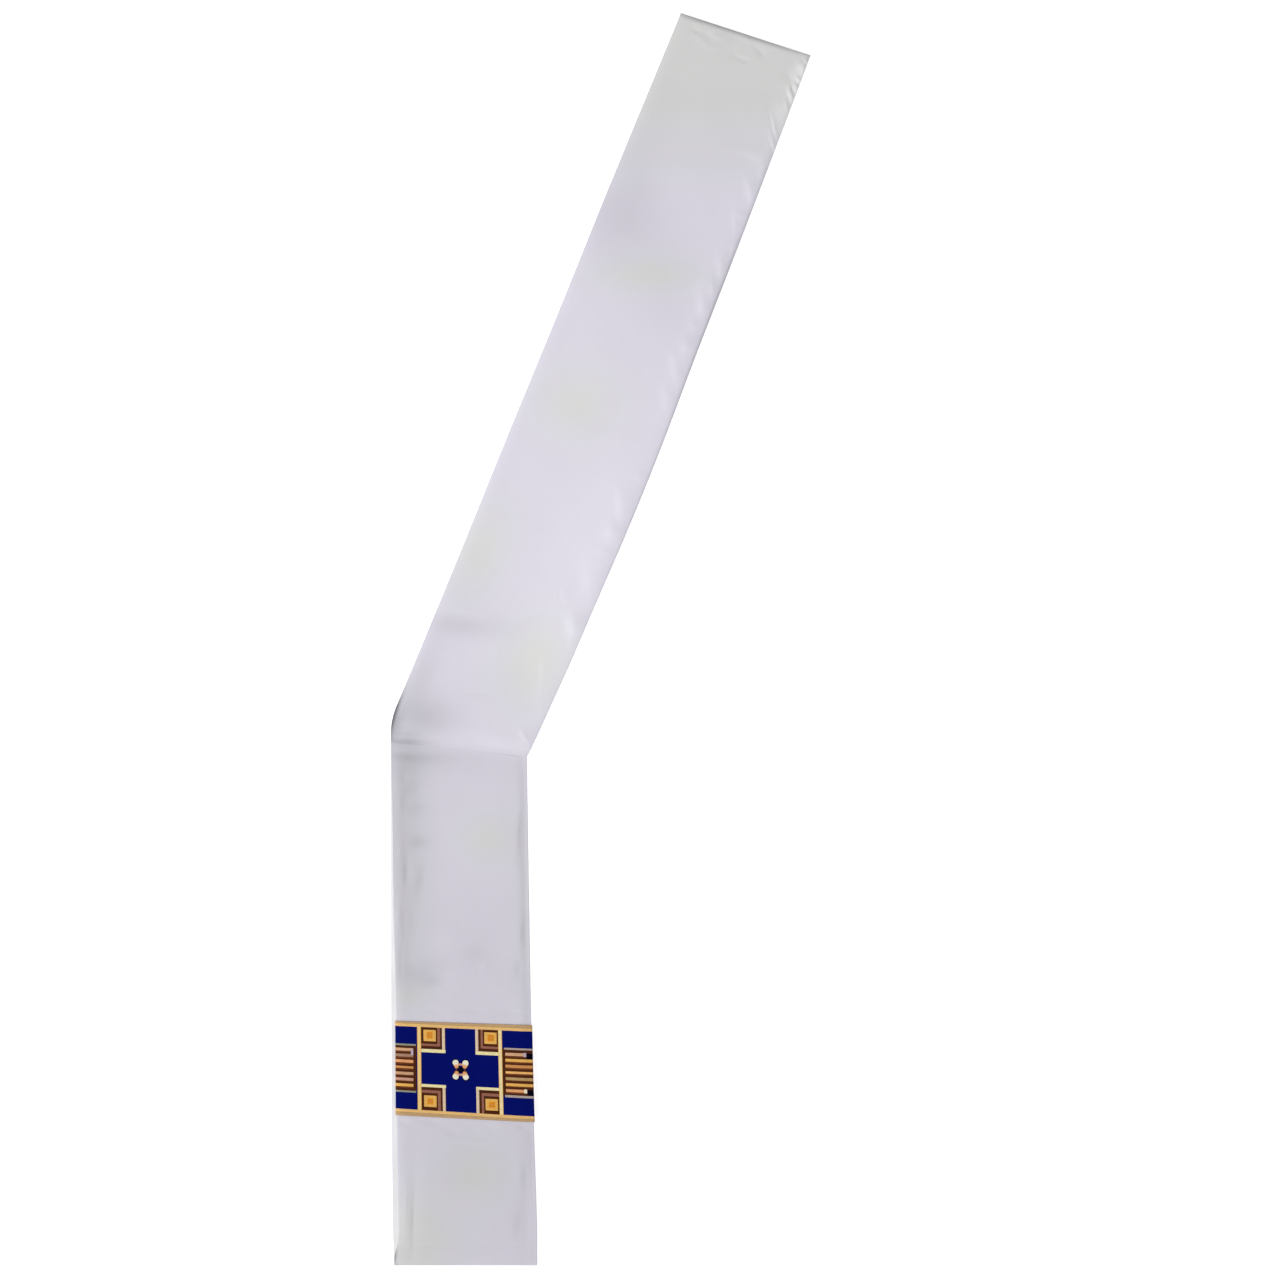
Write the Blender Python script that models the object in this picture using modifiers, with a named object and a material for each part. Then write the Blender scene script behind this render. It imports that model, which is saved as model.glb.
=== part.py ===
"""Deacon's stole of white cloth, laid flat on a table.

The front half comes down from the shoulder, turns at a stitched seam on the
hip and runs straight to its hem, with one woven galloon band across it. The
back half lies under it, lining to lining, and is plain. The halves meet at
the shoulder seam, which lies on the fold.

+X is across the stole, from its outer to its inner edge, +Y runs from the hem
to the shoulder and +Z is up from the table. The origin is the middle of the
footprint, on the table.
"""

import math
from collections import namedtuple

import bmesh
import bpy
from mathutils import Vector

MM = 0.001

# Cut sizes, in metres. The outer edge is the one on the wearer's right at the hip.
LEAN = math.radians(22.4)            # upper panel, off the line of the lower one
HIP_WIDTH = 0.1260                   # hip seam, straight across
HIP_SEAM_RISE = 0.0148               # outer end of the hip seam above its inner end
HIP_CORNER_RISE = 0.0204             # hip seam to where the two outer edges would meet
HIP_RADIUS = 0.070                   # rounding of that corner
UPPER_OUTER = 0.7061                 # that corner to the shoulder, along the outer edge
SHOULDER_WIDTH = 0.1256              # along the shoulder fold
SHOULDER_TILT = math.radians(18.0)   # shoulder fold, down towards the inner edge
LOWER_DROP = 0.4852                  # outer end of the hip seam down to the hem
HEM_WIDTH = 0.1324
HEM_SHIFT = 0.0031                   # hem's outer corner, in from the hip's

# Cloth and clearances, in metres.
CLOTH = 0.0016                       # one half: face cloth, stiffening and lining as one wall
GALLOON = 0.0010                     # wall of the woven band
GAP = 0.0003                         # kept between neighbouring pieces
EDGE_ROUND = 0.0006                  # rounding along every cut edge
GALLOON_ROUND = 0.0003
GALLOON_SHOULDER = 0.0005            # depth of the band's slope where it turns down

# The band's upper and lower edges, metres below the outer end of the hip seam.
BAND_TOP_OUTER = 0.2593
BAND_TOP_INNER = 0.2630
BAND_FOOT_OUTER = 0.3454
BAND_FOOT_INNER = 0.3519

# Soft form of the front half, in metres.
LOFT = 0.0013                        # rise of the cloth inside its edges
EDGE_ROLL = 0.0050                   # width over which a long edge rolls down
FOLD_ROLL = 0.0026                   # the same at the shoulder fold
HEM_ROLL = 0.0040
HIP_LIP = 0.0006                     # upper panel stands this proud of the lower one
HIP_LIP_REACH = 0.012
SOFT_FLOOR = 0.0003                  # how gently a trough bottoms out on the layer below

# Grid of each panel. Rows are closer near the hip seam, where the short creases are.
COLUMNS = 14
ROW_STEP = 0.0100
HIP_ROW_STEP = 0.0032
HIP_ROWS_REACH = 0.032
BACK_COLUMNS = 2
BACK_ROW_STEP = 0.0300

# Bows of the long edges, in millimetres outwards of the straight line between
# their ends. Along runs from 0 at the hip seam to 1 at the other end.
EdgeRow = namedtuple("EdgeRow", "along out")

UPPER_INNER_EDGE = [
    EdgeRow(0.00, 0.0),
    EdgeRow(0.10, 1.9),
    EdgeRow(0.21, 5.0),
    EdgeRow(0.33, 7.3),
    EdgeRow(0.44, 7.0),
    EdgeRow(0.58, 5.4),
    EdgeRow(0.72, 3.8),
    EdgeRow(0.86, 2.1),
    EdgeRow(1.00, 0.0),
]

LOWER_OUTER_EDGE = [
    EdgeRow(0.00, 0.0),
    EdgeRow(0.14, -1.0),
    EdgeRow(0.32, -1.6),
    EdgeRow(0.49, -2.7),
    EdgeRow(0.59, -2.9),
    EdgeRow(0.76, -3.4),
    EdgeRow(0.91, -4.1),
    EdgeRow(0.95, -3.3),
    EdgeRow(0.98, -0.8),
    EdgeRow(1.00, 0.0),
]

LOWER_INNER_EDGE = [
    EdgeRow(0.00, 0.0),
    EdgeRow(0.28, -0.6),
    EdgeRow(0.58, -0.9),
    EdgeRow(0.76, -0.2),
    EdgeRow(0.91, 0.6),
    EdgeRow(1.00, 0.0),
]

STRAIGHT_EDGE = [EdgeRow(0.0, 0.0), EdgeRow(1.0, 0.0)]

# Rolls and pressed seam allowances that follow an edge: millimetres in from
# that edge, width across and height, positive for a ridge.
FoldRow = namedtuple("FoldRow", "along inset width height")

UPPER_OUTER_ROLL = [
    FoldRow(0.00, 5.0, 9.0, 0.1),
    FoldRow(0.10, 6.0, 9.0, 0.6),
    FoldRow(0.20, 7.0, 9.0, 0.0),
    FoldRow(0.33, 7.0, 10.0, 0.7),
    FoldRow(0.47, 7.0, 9.0, 0.1),
    FoldRow(0.60, 8.0, 11.0, 0.6),
    FoldRow(0.76, 7.0, 9.0, -0.1),
    FoldRow(0.89, 6.0, 8.0, 0.5),
    FoldRow(1.00, 6.0, 8.0, 0.0),
]

UPPER_INNER_RIDGE = [
    FoldRow(0.00, 17.0, 9.0, 0.3),
    FoldRow(0.07, 19.0, 9.0, 0.9),
    FoldRow(0.13, 19.0, 9.0, 1.2),
    FoldRow(0.18, 20.0, 10.0, 3.0),
    FoldRow(0.23, 20.0, 9.0, 1.5),
    FoldRow(0.30, 21.0, 9.0, 2.2),
    FoldRow(0.35, 18.0, 8.0, 1.4),
    FoldRow(0.40, 18.0, 8.0, 2.3),
    FoldRow(0.47, 16.0, 8.0, 1.5),
    FoldRow(0.53, 15.0, 8.0, 2.1),
    FoldRow(0.58, 15.0, 7.0, 1.4),
    FoldRow(0.64, 14.0, 7.0, 2.0),
    FoldRow(0.71, 13.0, 7.0, 1.1),
    FoldRow(0.77, 13.0, 7.0, 1.7),
    FoldRow(0.84, 13.0, 7.0, 0.9),
    FoldRow(0.91, 12.0, 6.0, 1.6),
    FoldRow(0.96, 12.0, 6.0, 1.0),
    FoldRow(1.00, 11.0, 6.0, 0.2),
]

LOWER_OUTER_GROOVE = [
    FoldRow(0.00, 11.0, 5.0, 0.0),
    FoldRow(0.06, 12.0, 5.0, -0.9),
    FoldRow(0.16, 13.0, 6.0, -0.6),
    FoldRow(0.27, 13.0, 5.0, -0.4),
    FoldRow(0.36, 14.0, 6.0, -0.7),
    FoldRow(0.44, 15.0, 7.0, -0.8),
    FoldRow(0.52, 15.0, 6.0, 0.0),
    FoldRow(0.78, 16.0, 5.0, -0.2),
    FoldRow(0.87, 17.0, 5.0, -0.6),
    FoldRow(0.97, 17.0, 5.0, -0.4),
    FoldRow(1.00, 17.0, 5.0, -0.2),
]

LOWER_INNER_GROOVE = [
    FoldRow(0.00, 7.0, 4.0, 0.0),
    FoldRow(0.08, 7.0, 4.0, -0.4),
    FoldRow(0.22, 8.0, 4.0, -0.6),
    FoldRow(0.38, 9.0, 4.0, -0.4),
    FoldRow(0.50, 10.0, 4.0, 0.0),
    FoldRow(0.76, 10.0, 5.0, -0.3),
    FoldRow(0.88, 11.0, 5.0, -0.6),
    FoldRow(1.00, 11.0, 5.0, -0.3),
]

# Soft swells and creases of the front half, in millimetres from the outer end
# of the hip seam. Turn is the direction of the long axis, in degrees from +X.
Swell = namedtuple("Swell", "x y turn reach width height")

SWELLS = [
    Swell(157, 223, 68, 150, 42, 0.9),    # full middle of the upper panel
    Swell(205, 392, 66, 60, 30, 0.5),
    Swell(222, 492, 70, 85, 34, -0.6),    # hollow towards the shoulder
    Swell(292, 575, 60, 50, 26, 0.5),
    Swell(69, 107, -8, 32, 11, -0.9),     # short hollow above the hip
    Swell(62, 128, -12, 38, 10, 0.5),
    Swell(30, 64, 60, 45, 16, -0.5),
    Swell(92, 46, 20, 34, 15, 0.5),
    Swell(10, -6, -70, 34, 30, 1.4),      # cloth pushed up on the outside of the turn
    Swell(0, -1, -3, 34, 3.4, -1.7),      # upper wedge crease
    Swell(2, -9, -5, 30, 3.2, 0.5),
    Swell(0, -18, -7, 38, 5.5, -1.8),     # lower wedge crease
    Swell(4, 24, 72, 26, 4.0, 0.7),       # roll along the rounded corner
    Swell(114, 0, -9, 30, 6.5, 0.9),      # lip at the inner end of the seam
    Swell(70, -22, -5, 62, 8.0, -0.6),    # hollow under the seam
    Swell(60, -110, 84, 62, 30, 0.4),
    Swell(95, -60, 70, 34, 18, 0.3),
    Swell(37, -226, 35, 17, 11, -0.8),    # hollows above the band
    Swell(83, -198, 20, 16, 10, -0.6),
    Swell(66, -214, 15, 16, 10, 0.5),
    Swell(110, -232, -15, 24, 12, 0.4),
    Swell(48, -385, 4, 44, 12, 0.4),      # slack below the band
    Swell(92, -402, -6, 38, 11, -0.5),
    Swell(52, -428, 8, 36, 12, -0.4),
    Swell(102, -446, 5, 30, 12, 0.4),
]

# A row's places along the outer and inner edges, and the step of the rows that lead up to it.
Station = namedtuple("Station", "outer inner step")

Corners = namedtuple("Corners", "hip_outer hip_inner shoulder_outer shoulder_inner hem_outer hem_inner")


def smooth_value(rows, along, column):
    """Value of a column on a smooth curve through a table's rows."""
    places = [row.along for row in rows]
    values = [getattr(row, column) for row in rows]
    last = len(rows) - 1
    index = max(i for i in range(last) if places[i] <= max(along, places[0]))
    span = places[index + 1] - places[index]
    share = min(max((along - places[index]) / span, 0.0), 1.0)

    def slope(i):
        before = max(i - 1, 0)
        after = min(i + 1, last)
        return (values[after] - values[before]) / (places[after] - places[before])

    start_pull = share * (1 - share) ** 2 * span * slope(index)
    end_pull = share ** 2 * (share - 1) * span * slope(index + 1)
    end_share = share ** 2 * (3 - 2 * share)
    return values[index] * (1 - end_share) + values[index + 1] * end_share + start_pull + end_pull


def outer_upper_edge(distance):
    """Point on the upper panel's outer edge: up from the hip seam, round the corner, then leaning."""
    tangent = HIP_RADIUS * math.tan(LEAN / 2)
    upright = HIP_CORNER_RISE - tangent
    arc = HIP_RADIUS * LEAN
    if distance < upright:
        return Vector((0.0, distance))
    if distance < upright + arc:
        turned = (distance - upright) / HIP_RADIUS
        return Vector((HIP_RADIUS * (1 - math.cos(turned)), upright + HIP_RADIUS * math.sin(turned)))
    turn_end = Vector((HIP_RADIUS * (1 - math.cos(LEAN)), upright + HIP_RADIUS * math.sin(LEAN)))
    return turn_end + (distance - upright - arc) * Vector((math.sin(LEAN), math.cos(LEAN)))


def outer_upper_length():
    tangent = HIP_RADIUS * math.tan(LEAN / 2)
    return HIP_CORNER_RISE - tangent + HIP_RADIUS * LEAN + UPPER_OUTER - tangent


def find_corners():
    """Corners of the stole, measured from the outer end of the hip seam."""
    shoulder_outer = outer_upper_edge(outer_upper_length())
    fold = Vector((math.cos(SHOULDER_TILT), -math.sin(SHOULDER_TILT)))
    return Corners(
        hip_outer=Vector((0.0, 0.0)),
        hip_inner=Vector((HIP_WIDTH, -HIP_SEAM_RISE)),
        shoulder_outer=shoulder_outer,
        shoulder_inner=shoulder_outer + SHOULDER_WIDTH * fold,
        hem_outer=Vector((HEM_SHIFT, -LOWER_DROP)),
        hem_inner=Vector((HEM_SHIFT + HEM_WIDTH, -LOWER_DROP)),
    )


CORNERS = find_corners()
MIDDLE = Vector((
    (CORNERS.hip_outer.x + CORNERS.shoulder_inner.x) / 2,
    (CORNERS.hem_outer.y + CORNERS.shoulder_outer.y) / 2,
))


def bowed_edge(start, end, rows, along, outwards):
    """Point on an edge that bows from the line between its ends. Outwards is +1 on the inner edge."""
    line = end - start
    side = Vector((line.y, -line.x)).normalized() * outwards
    if line.y < 0:
        side = -side
    return start + line * along + side * smooth_value(rows, along, "out") * MM


def upper_point(across, along_outer, along_inner):
    """Place in the upper panel, with the width there."""
    outer = outer_upper_edge(along_outer * outer_upper_length())
    inner = bowed_edge(CORNERS.hip_inner, CORNERS.shoulder_inner, UPPER_INNER_EDGE, along_inner, 1)
    return outer.lerp(inner, across), (inner - outer).length


def lower_point(across, along_outer, along_inner, outer_rows=LOWER_OUTER_EDGE):
    """Place in the lower panel, with the width there."""
    outer = bowed_edge(CORNERS.hip_outer, CORNERS.hem_outer, outer_rows, along_outer, -1)
    inner = bowed_edge(CORNERS.hip_inner, CORNERS.hem_inner, LOWER_INNER_EDGE, along_inner, 1)
    return outer.lerp(inner, across), (inner - outer).length


def rolled(distance, roll):
    """Share of the loft that is reached at a distance in from an edge."""
    return 1 - math.exp(-max(distance, 0.0) / roll)


def swell_height(place):
    total = 0.0
    for swell in SWELLS:
        offset = place - Vector((swell.x, swell.y)) * MM
        turn = math.radians(swell.turn)
        lengthways = offset.x * math.cos(turn) + offset.y * math.sin(turn)
        sideways = offset.y * math.cos(turn) - offset.x * math.sin(turn)
        shape = (lengthways / (swell.reach * MM)) ** 2 + (sideways / (swell.width * MM)) ** 2
        total += swell.height * MM * math.exp(-shape)
    return total


def fold_height(rows, along, from_edge):
    inset = smooth_value(rows, along, "inset") * MM
    width = smooth_value(rows, along, "width") * MM
    return smooth_value(rows, along, "height") * MM * math.exp(-((from_edge - inset) / width) ** 2)


def settled(height):
    """A trough ends softly where the cloth meets the layer under it."""
    return (height + math.sqrt(height ** 2 + SOFT_FLOOR ** 2)) / 2


def front_upper_lift(place, across, along, width):
    """Rise of the upper panel over the layer below."""
    from_outer = across * width
    from_inner = (1 - across) * width
    from_fold = (1 - along) * outer_upper_length()
    height = LOFT * rolled(from_outer, EDGE_ROLL) * rolled(from_inner, EDGE_ROLL)
    height += fold_height(UPPER_OUTER_ROLL, along, from_outer)
    height += fold_height(UPPER_INNER_RIDGE, along, from_inner)
    height += HIP_LIP * math.exp(-along * outer_upper_length() / HIP_LIP_REACH)
    height += swell_height(place)
    return settled(height * rolled(from_fold, FOLD_ROLL))


def front_lower_lift(place, across, along, width):
    """Rise of the lower panel over the layer below."""
    from_outer = across * width
    from_inner = (1 - across) * width
    from_hem = (1 - along) * LOWER_DROP
    height = LOFT * rolled(from_outer, EDGE_ROLL) * rolled(from_inner, EDGE_ROLL)
    height += fold_height(LOWER_OUTER_GROOVE, along, from_outer)
    height += fold_height(LOWER_INNER_GROOVE, along, from_inner)
    height += swell_height(place)
    return settled(height * rolled(from_hem, HEM_ROLL))


def column_place(share):
    """Columns crowd towards the long edges, where the cloth rolls down."""
    return 0.5 - 0.5 * math.cos(math.pi * share)


def spaced_rows(stations, length):
    """Places along the outer and inner edges, evenly spaced from station to station."""
    rows = [(stations[0].outer, stations[0].inner)]
    for start, end in zip(stations, stations[1:]):
        count = max(1, round((end.outer - start.outer) * length / end.step))
        for index in range(1, count + 1):
            share = index / count
            rows.append((
                start.outer + (end.outer - start.outer) * share,
                start.inner + (end.inner - start.inner) * share,
            ))
    return rows


def even_station(distance, length, step):
    return Station(distance / length, distance / length, step)


def band_stations():
    inner_length = LOWER_DROP - HIP_SEAM_RISE
    top = Station(BAND_TOP_OUTER / LOWER_DROP, (BAND_TOP_INNER - HIP_SEAM_RISE) / inner_length, ROW_STEP)
    foot = Station(BAND_FOOT_OUTER / LOWER_DROP, (BAND_FOOT_INNER - HIP_SEAM_RISE) / inner_length, ROW_STEP)
    return top, foot


def front_upper_surface(across, along):
    place, width = upper_point(across, along, along)
    lift = front_upper_lift(place, across, along, width)
    return (place - MIDDLE).to_3d() + Vector((0, 0, 2 * CLOTH + GAP + lift))


def front_lower_surface(across, along_outer, along_inner):
    place, width = lower_point(across, along_outer, along_inner)
    along = along_outer + (along_inner - along_outer) * across
    lift = front_lower_lift(place, across, along, width)
    return (place - MIDDLE).to_3d() + Vector((0, 0, 2 * CLOTH + GAP + lift))


def make_material(name, colour, roughness, metallic):
    material = bpy.data.materials.new(name)
    material.use_nodes = True
    shader = material.node_tree.nodes["Principled BSDF"]
    shader.inputs["Base Color"].default_value = (*colour, 1.0)
    shader.inputs["Roughness"].default_value = roughness
    shader.inputs["Metallic"].default_value = metallic
    return material


def make_wall(name, collection, material, columns, rows, surface, wall, offset, rounding):
    """Open sheet laid out by surface(column share, row share), thickened and rounded at its edges."""
    sheet = bmesh.new()
    bmesh.ops.create_grid(sheet, x_segments=columns, y_segments=rows, size=0.5)
    for point in sheet.verts:
        point.co = surface(point.co.x + 0.5, point.co.y + 0.5)
    mesh = bpy.data.meshes.new(name)
    sheet.to_mesh(mesh)
    sheet.free()
    mesh.materials.append(material)
    mesh.shade_smooth()
    piece = bpy.data.objects.new(name, mesh)
    collection.objects.link(piece)
    thickness = piece.modifiers.new("wall", "SOLIDIFY")
    thickness.thickness = wall
    thickness.offset = offset
    thickness.use_even_offset = True
    edge = piece.modifiers.new("edge", "BEVEL")
    edge.width = rounding
    edge.segments = 2
    edge.limit_method = "ANGLE"
    edge.angle_limit = math.radians(50)
    return piece


def make_front_upper(collection, material):
    length = outer_upper_length()
    rows = spaced_rows([
        even_station(GAP / 2, length, HIP_ROW_STEP),
        even_station(HIP_ROWS_REACH, length, HIP_ROW_STEP),
        even_station(length, length, ROW_STEP),
    ], length)
    last = len(rows) - 1

    def surface(column, row):
        return front_upper_surface(column_place(column), rows[round(row * last)][0])

    make_wall("front_upper_panel", collection, material, COLUMNS, last, surface, CLOTH, -1, EDGE_ROUND)


def make_front_lower(collection, material):
    top, foot = band_stations()
    rows = spaced_rows([
        even_station(GAP / 2, LOWER_DROP, HIP_ROW_STEP),
        even_station(HIP_ROWS_REACH, LOWER_DROP, HIP_ROW_STEP),
        top,
        foot,
        even_station(LOWER_DROP, LOWER_DROP, ROW_STEP),
    ], LOWER_DROP)
    last = len(rows) - 1

    def surface(column, row):
        outer, inner = rows[last - round(row * last)]
        return front_lower_surface(column_place(column), outer, inner)

    make_wall("front_lower_panel", collection, material, COLUMNS, last, surface, CLOTH, -1, EDGE_ROUND)


def make_galloon(collection, material):
    """The band lies on the lower panel's own points, moved out, and turns down over both long edges."""
    rows = spaced_rows(band_stations(), LOWER_DROP)
    last = len(rows) - 1
    turned = 2
    columns = COLUMNS + 2 * turned

    def surface(column, row):
        outer, inner = rows[last - round(row * last)]
        index = round(column * columns)
        panel_index = min(max(index - turned, 0), COLUMNS)
        point = front_lower_surface(column_place(panel_index / COLUMNS), outer, inner)
        beyond = max(turned - index, index - turned - COLUMNS)
        if beyond <= 0:
            return point + Vector((0, 0, GAP))
        side = -GAP if index < turned else GAP
        down = GALLOON_SHOULDER if beyond == 1 else CLOTH
        return point + Vector((side, 0, -down))

    make_wall("galloon_band", collection, material, columns, last, surface, GALLOON, 1, GALLOON_ROUND)


def make_back_upper(collection, material):
    start = GAP / 2 / outer_upper_length()

    def surface(column, row):
        along = start + (1 - start) * row
        place, width = upper_point(column, along, along)
        return (place - MIDDLE).to_3d()

    rows = round(outer_upper_length() / BACK_ROW_STEP)
    make_wall("back_upper_panel", collection, material, BACK_COLUMNS, rows, surface, CLOTH, 1, EDGE_ROUND)


def make_back_lower(collection, material):
    start = GAP / 2 / LOWER_DROP

    def surface(column, row):
        along = 1 - (1 - start) * row
        place, width = lower_point(column, along, along, STRAIGHT_EDGE)
        return (place - MIDDLE).to_3d()

    rows = round(LOWER_DROP / BACK_ROW_STEP)
    make_wall("back_lower_panel", collection, material, BACK_COLUMNS, rows, surface, CLOTH, 1, EDGE_ROUND)


def clear_scene():
    for item in list(bpy.data.objects):
        bpy.data.objects.remove(item)


def main():
    clear_scene()
    collection = bpy.data.collections.new("clerical_stole")
    bpy.context.scene.collection.children.link(collection)
    white_cloth = make_material("white_cloth", (0.66, 0.655, 0.69), 0.75, 0.0)
    galloon = make_material("galloon", (0.10, 0.08, 0.12), 0.55, 0.0)
    make_front_upper(collection, white_cloth)
    make_front_lower(collection, white_cloth)
    make_galloon(collection, galloon)
    make_back_upper(collection, white_cloth)
    make_back_lower(collection, white_cloth)


main()
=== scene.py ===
import math

import bpy
import numpy as np
from mathutils import Matrix, Vector, noise


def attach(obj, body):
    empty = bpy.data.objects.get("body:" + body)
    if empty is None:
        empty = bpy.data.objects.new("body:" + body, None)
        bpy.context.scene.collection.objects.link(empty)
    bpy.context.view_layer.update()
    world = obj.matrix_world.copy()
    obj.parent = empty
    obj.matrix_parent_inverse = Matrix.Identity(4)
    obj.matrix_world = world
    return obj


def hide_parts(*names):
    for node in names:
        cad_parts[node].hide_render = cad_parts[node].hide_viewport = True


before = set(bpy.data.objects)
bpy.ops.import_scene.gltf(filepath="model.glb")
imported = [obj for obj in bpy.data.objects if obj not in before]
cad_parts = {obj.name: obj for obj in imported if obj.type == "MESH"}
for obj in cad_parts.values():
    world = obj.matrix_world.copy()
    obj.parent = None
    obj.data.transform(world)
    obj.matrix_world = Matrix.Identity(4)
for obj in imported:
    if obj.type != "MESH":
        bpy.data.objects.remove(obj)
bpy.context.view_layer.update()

# deacon's stole, laid flat: the front half on top, the back half under it, lining to lining
# places are metres from the middle of the footprint, on the table, and +Y runs to the shoulder
mm = 0.001

# cut sizes; the outer edge is the one on the wearer's right at the hip
stole = {
    "lean": math.radians(22.4),  # upper panel, off the line of the lower one
    "hipWidth": 0.1260,
    "hipSeamRise": 0.0148,  # outer end of the hip seam above its inner end
    "hipCornerRise": 0.0204,  # hip seam to where the two outer edges would meet
    "hipRadius": 0.070,
    "upperOuter": 0.7061,  # that corner to the shoulder
    "shoulderWidth": 0.1256,
    "shoulderTilt": math.radians(18.0),
    "lowerDrop": 0.4852,  # outer end of the hip seam down to the hem
    "hemWidth": 0.1324,
    "hemShift": 0.0031,
    "wall": 0.0016,  # face cloth, stiffening and lining
    "gap": 0.0003,  # between the two halves
    "seamGap": 0.00002,  # between panels that are sewn edge to edge
    "edgeRound": 0.00074,
    "hipShadeReach": 0.010,  # painted shade: the lower panel turns darker over this much either side of the hip seam
}

# bows of the long edges, millimetres outwards, from the hip seam at 0 to the other end at 1
upperInnerEdge = {
    "along": (0.00, 0.03, 0.08, 0.14, 0.21, 0.33, 0.44, 0.58, 0.72, 0.86, 1.00),
    "out": (0.0, 1.3, 2.9, 4.6, 5.7, 7.8, 7.9, 5.7, 4.3, 2.4, 0.0),
}
upperOuterEdge = {
    "along": (0.00, 0.10, 0.25, 0.40, 0.60, 0.75, 1.00),
    "out": (0.0, -0.5, -0.6, 0.0, 0.2, 0.9, 0.9),
}
lowerOuterEdge = {
    "along": (0.00, 0.14, 0.32, 0.49, 0.59, 0.76, 0.91, 0.95, 0.98, 1.00),
    "out": (0.0, -1.0, -1.6, -3.3, -3.5, -3.5, -4.4, -3.8, -0.8, 0.0),
}
lowerInnerEdge = {"along": (0.00, 0.28, 0.58, 0.76, 0.91, 1.00), "out": (0.0, -0.6, -0.9, -0.2, 0.6, 0.0)}
backOuterEdge = {
    "along": (0.00, 0.15, 0.35, 0.50, 0.75, 0.93, 1.00),
    "out": (0.0, 0.5, 0.9, 1.3, 1.4, 1.0, 0.1),
}


# value of a table's column on a smooth curve through its rows
def smoothColumn(table, column, along):
    places, values = np.array(table["along"]), np.array(table[column])
    last = len(places) - 1
    rows = np.arange(last + 1)
    before, after = np.maximum(rows - 1, 0), np.minimum(rows + 1, last)
    slopes = (values[after] - values[before]) / (places[after] - places[before])
    index = np.clip(np.searchsorted(places, along, side="right") - 1, 0, last - 1)
    span = places[index + 1] - places[index]
    share = np.clip((along - places[index]) / span, 0, 1)
    ease = share ** 2 * (3 - 2 * share)
    pull = share * (1 - share) * ((1 - share) * slopes[index] - share * slopes[index + 1]) * span
    return values[index] * (1 - ease) + values[index + 1] * ease + pull


# outer edge of the upper panel: up from the hip seam, round the corner, then leaning
def outerUpperEdge(distance):
    radius, lean = stole["hipRadius"], stole["lean"]
    upright = stole["hipCornerRise"] - radius * math.tan(lean / 2)
    turned = np.clip((distance - upright) / radius, 0, lean)
    straight = np.maximum(distance - upright - radius * lean, 0)
    x = radius * (1 - np.cos(turned)) + straight * math.sin(lean)
    y = np.minimum(distance, upright) + radius * np.sin(turned) + straight * math.cos(lean)
    return np.stack((x, y), -1)


tangent = stole["hipRadius"] * math.tan(stole["lean"] / 2)
hipArc = stole["hipRadius"] * stole["lean"]
upperLength = stole["hipCornerRise"] - tangent + hipArc + stole["upperOuter"] - tangent
hipOuter = np.zeros(2)
hipInner = np.array((stole["hipWidth"], -stole["hipSeamRise"]))
shoulderOuter = outerUpperEdge(np.array(upperLength))
shoulderLine = np.array((math.cos(stole["shoulderTilt"]), -math.sin(stole["shoulderTilt"])))
shoulderInner = shoulderOuter + stole["shoulderWidth"] * shoulderLine
hemOuter = np.array((stole["hemShift"], -stole["lowerDrop"]))
hemInner = np.array((stole["hemShift"] + stole["hemWidth"], -stole["lowerDrop"]))
innerLength = stole["lowerDrop"] - stole["hipSeamRise"]
middle = np.array((shoulderInner[0], hemOuter[1] + shoulderOuter[1])) / 2


# points on an edge that bows from the line between its ends; outwards is 1 on the inner edge
def bowedEdge(start, end, table, along, outwards):
    line = end - start
    side = np.array((line[1], -line[0])) / np.hypot(*line) * outwards
    if line[1] < 0:
        side = -side
    along = np.asarray(along)[:, None]
    return start + line * along + side * smoothColumn(table, "out", along) * mm


def upperPlace(across, along):
    bow = smoothColumn(upperOuterEdge, "out", along)[:, None] * mm
    inwards = np.array((math.cos(stole["lean"]), -math.sin(stole["lean"])))
    outer = outerUpperEdge(along * upperLength) - bow * inwards
    inner = bowedEdge(hipInner, shoulderInner, upperInnerEdge, along, 1)
    return outer + (inner - outer) * across[:, None], np.hypot(*(inner - outer).T)


# the band's rows slant, so they lie at different shares of the two edges
def lowerPlace(across, alongOuter, alongInner=None, outerTable=lowerOuterEdge):
    if alongInner is None:
        alongInner = alongOuter
    outer = bowedEdge(hipOuter, hemOuter, outerTable, alongOuter, -1)
    inner = bowedEdge(hipInner, hemInner, lowerInnerEdge, alongInner, 1)
    return outer + (inner - outer) * across[:, None], np.hypot(*(inner - outer).T)


# soft form of the front half
form = {
    "loft": 0.0013,  # rise of the cloth inside its edges
    "edgeRoll": 0.0032,
    "foldRoll": 0.0026,
    "hemRoll": 0.0040,
    # each as metres above the hip seam, reach and height
    "hipStep": ((0.021, 0.010, 0.0004), (0.001, 0.010, -0.0005), (0.0, 0.0016, -0.00010)),
    "settleReach": 0.024,
    "softFloor": 0.0003,
    "creaseLee": 2.2,  # how much wider a crease is on its lee side
    "pleatFade": 0.030,
    "flatRim": 0.0050,  # the lower panel's inner rim lies flatter over this much
    "rimFlattening": 0.85,
    "waveHeight": 0.00034,  # uneven lie of the cloth
    "waveLength": 0.034,
    "rippleHeight": 0.00005,
    "rippleLength": 0.009,
    "seeds": (3, 7),  # its lie on the upper panel, and on the lower one
}

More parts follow.
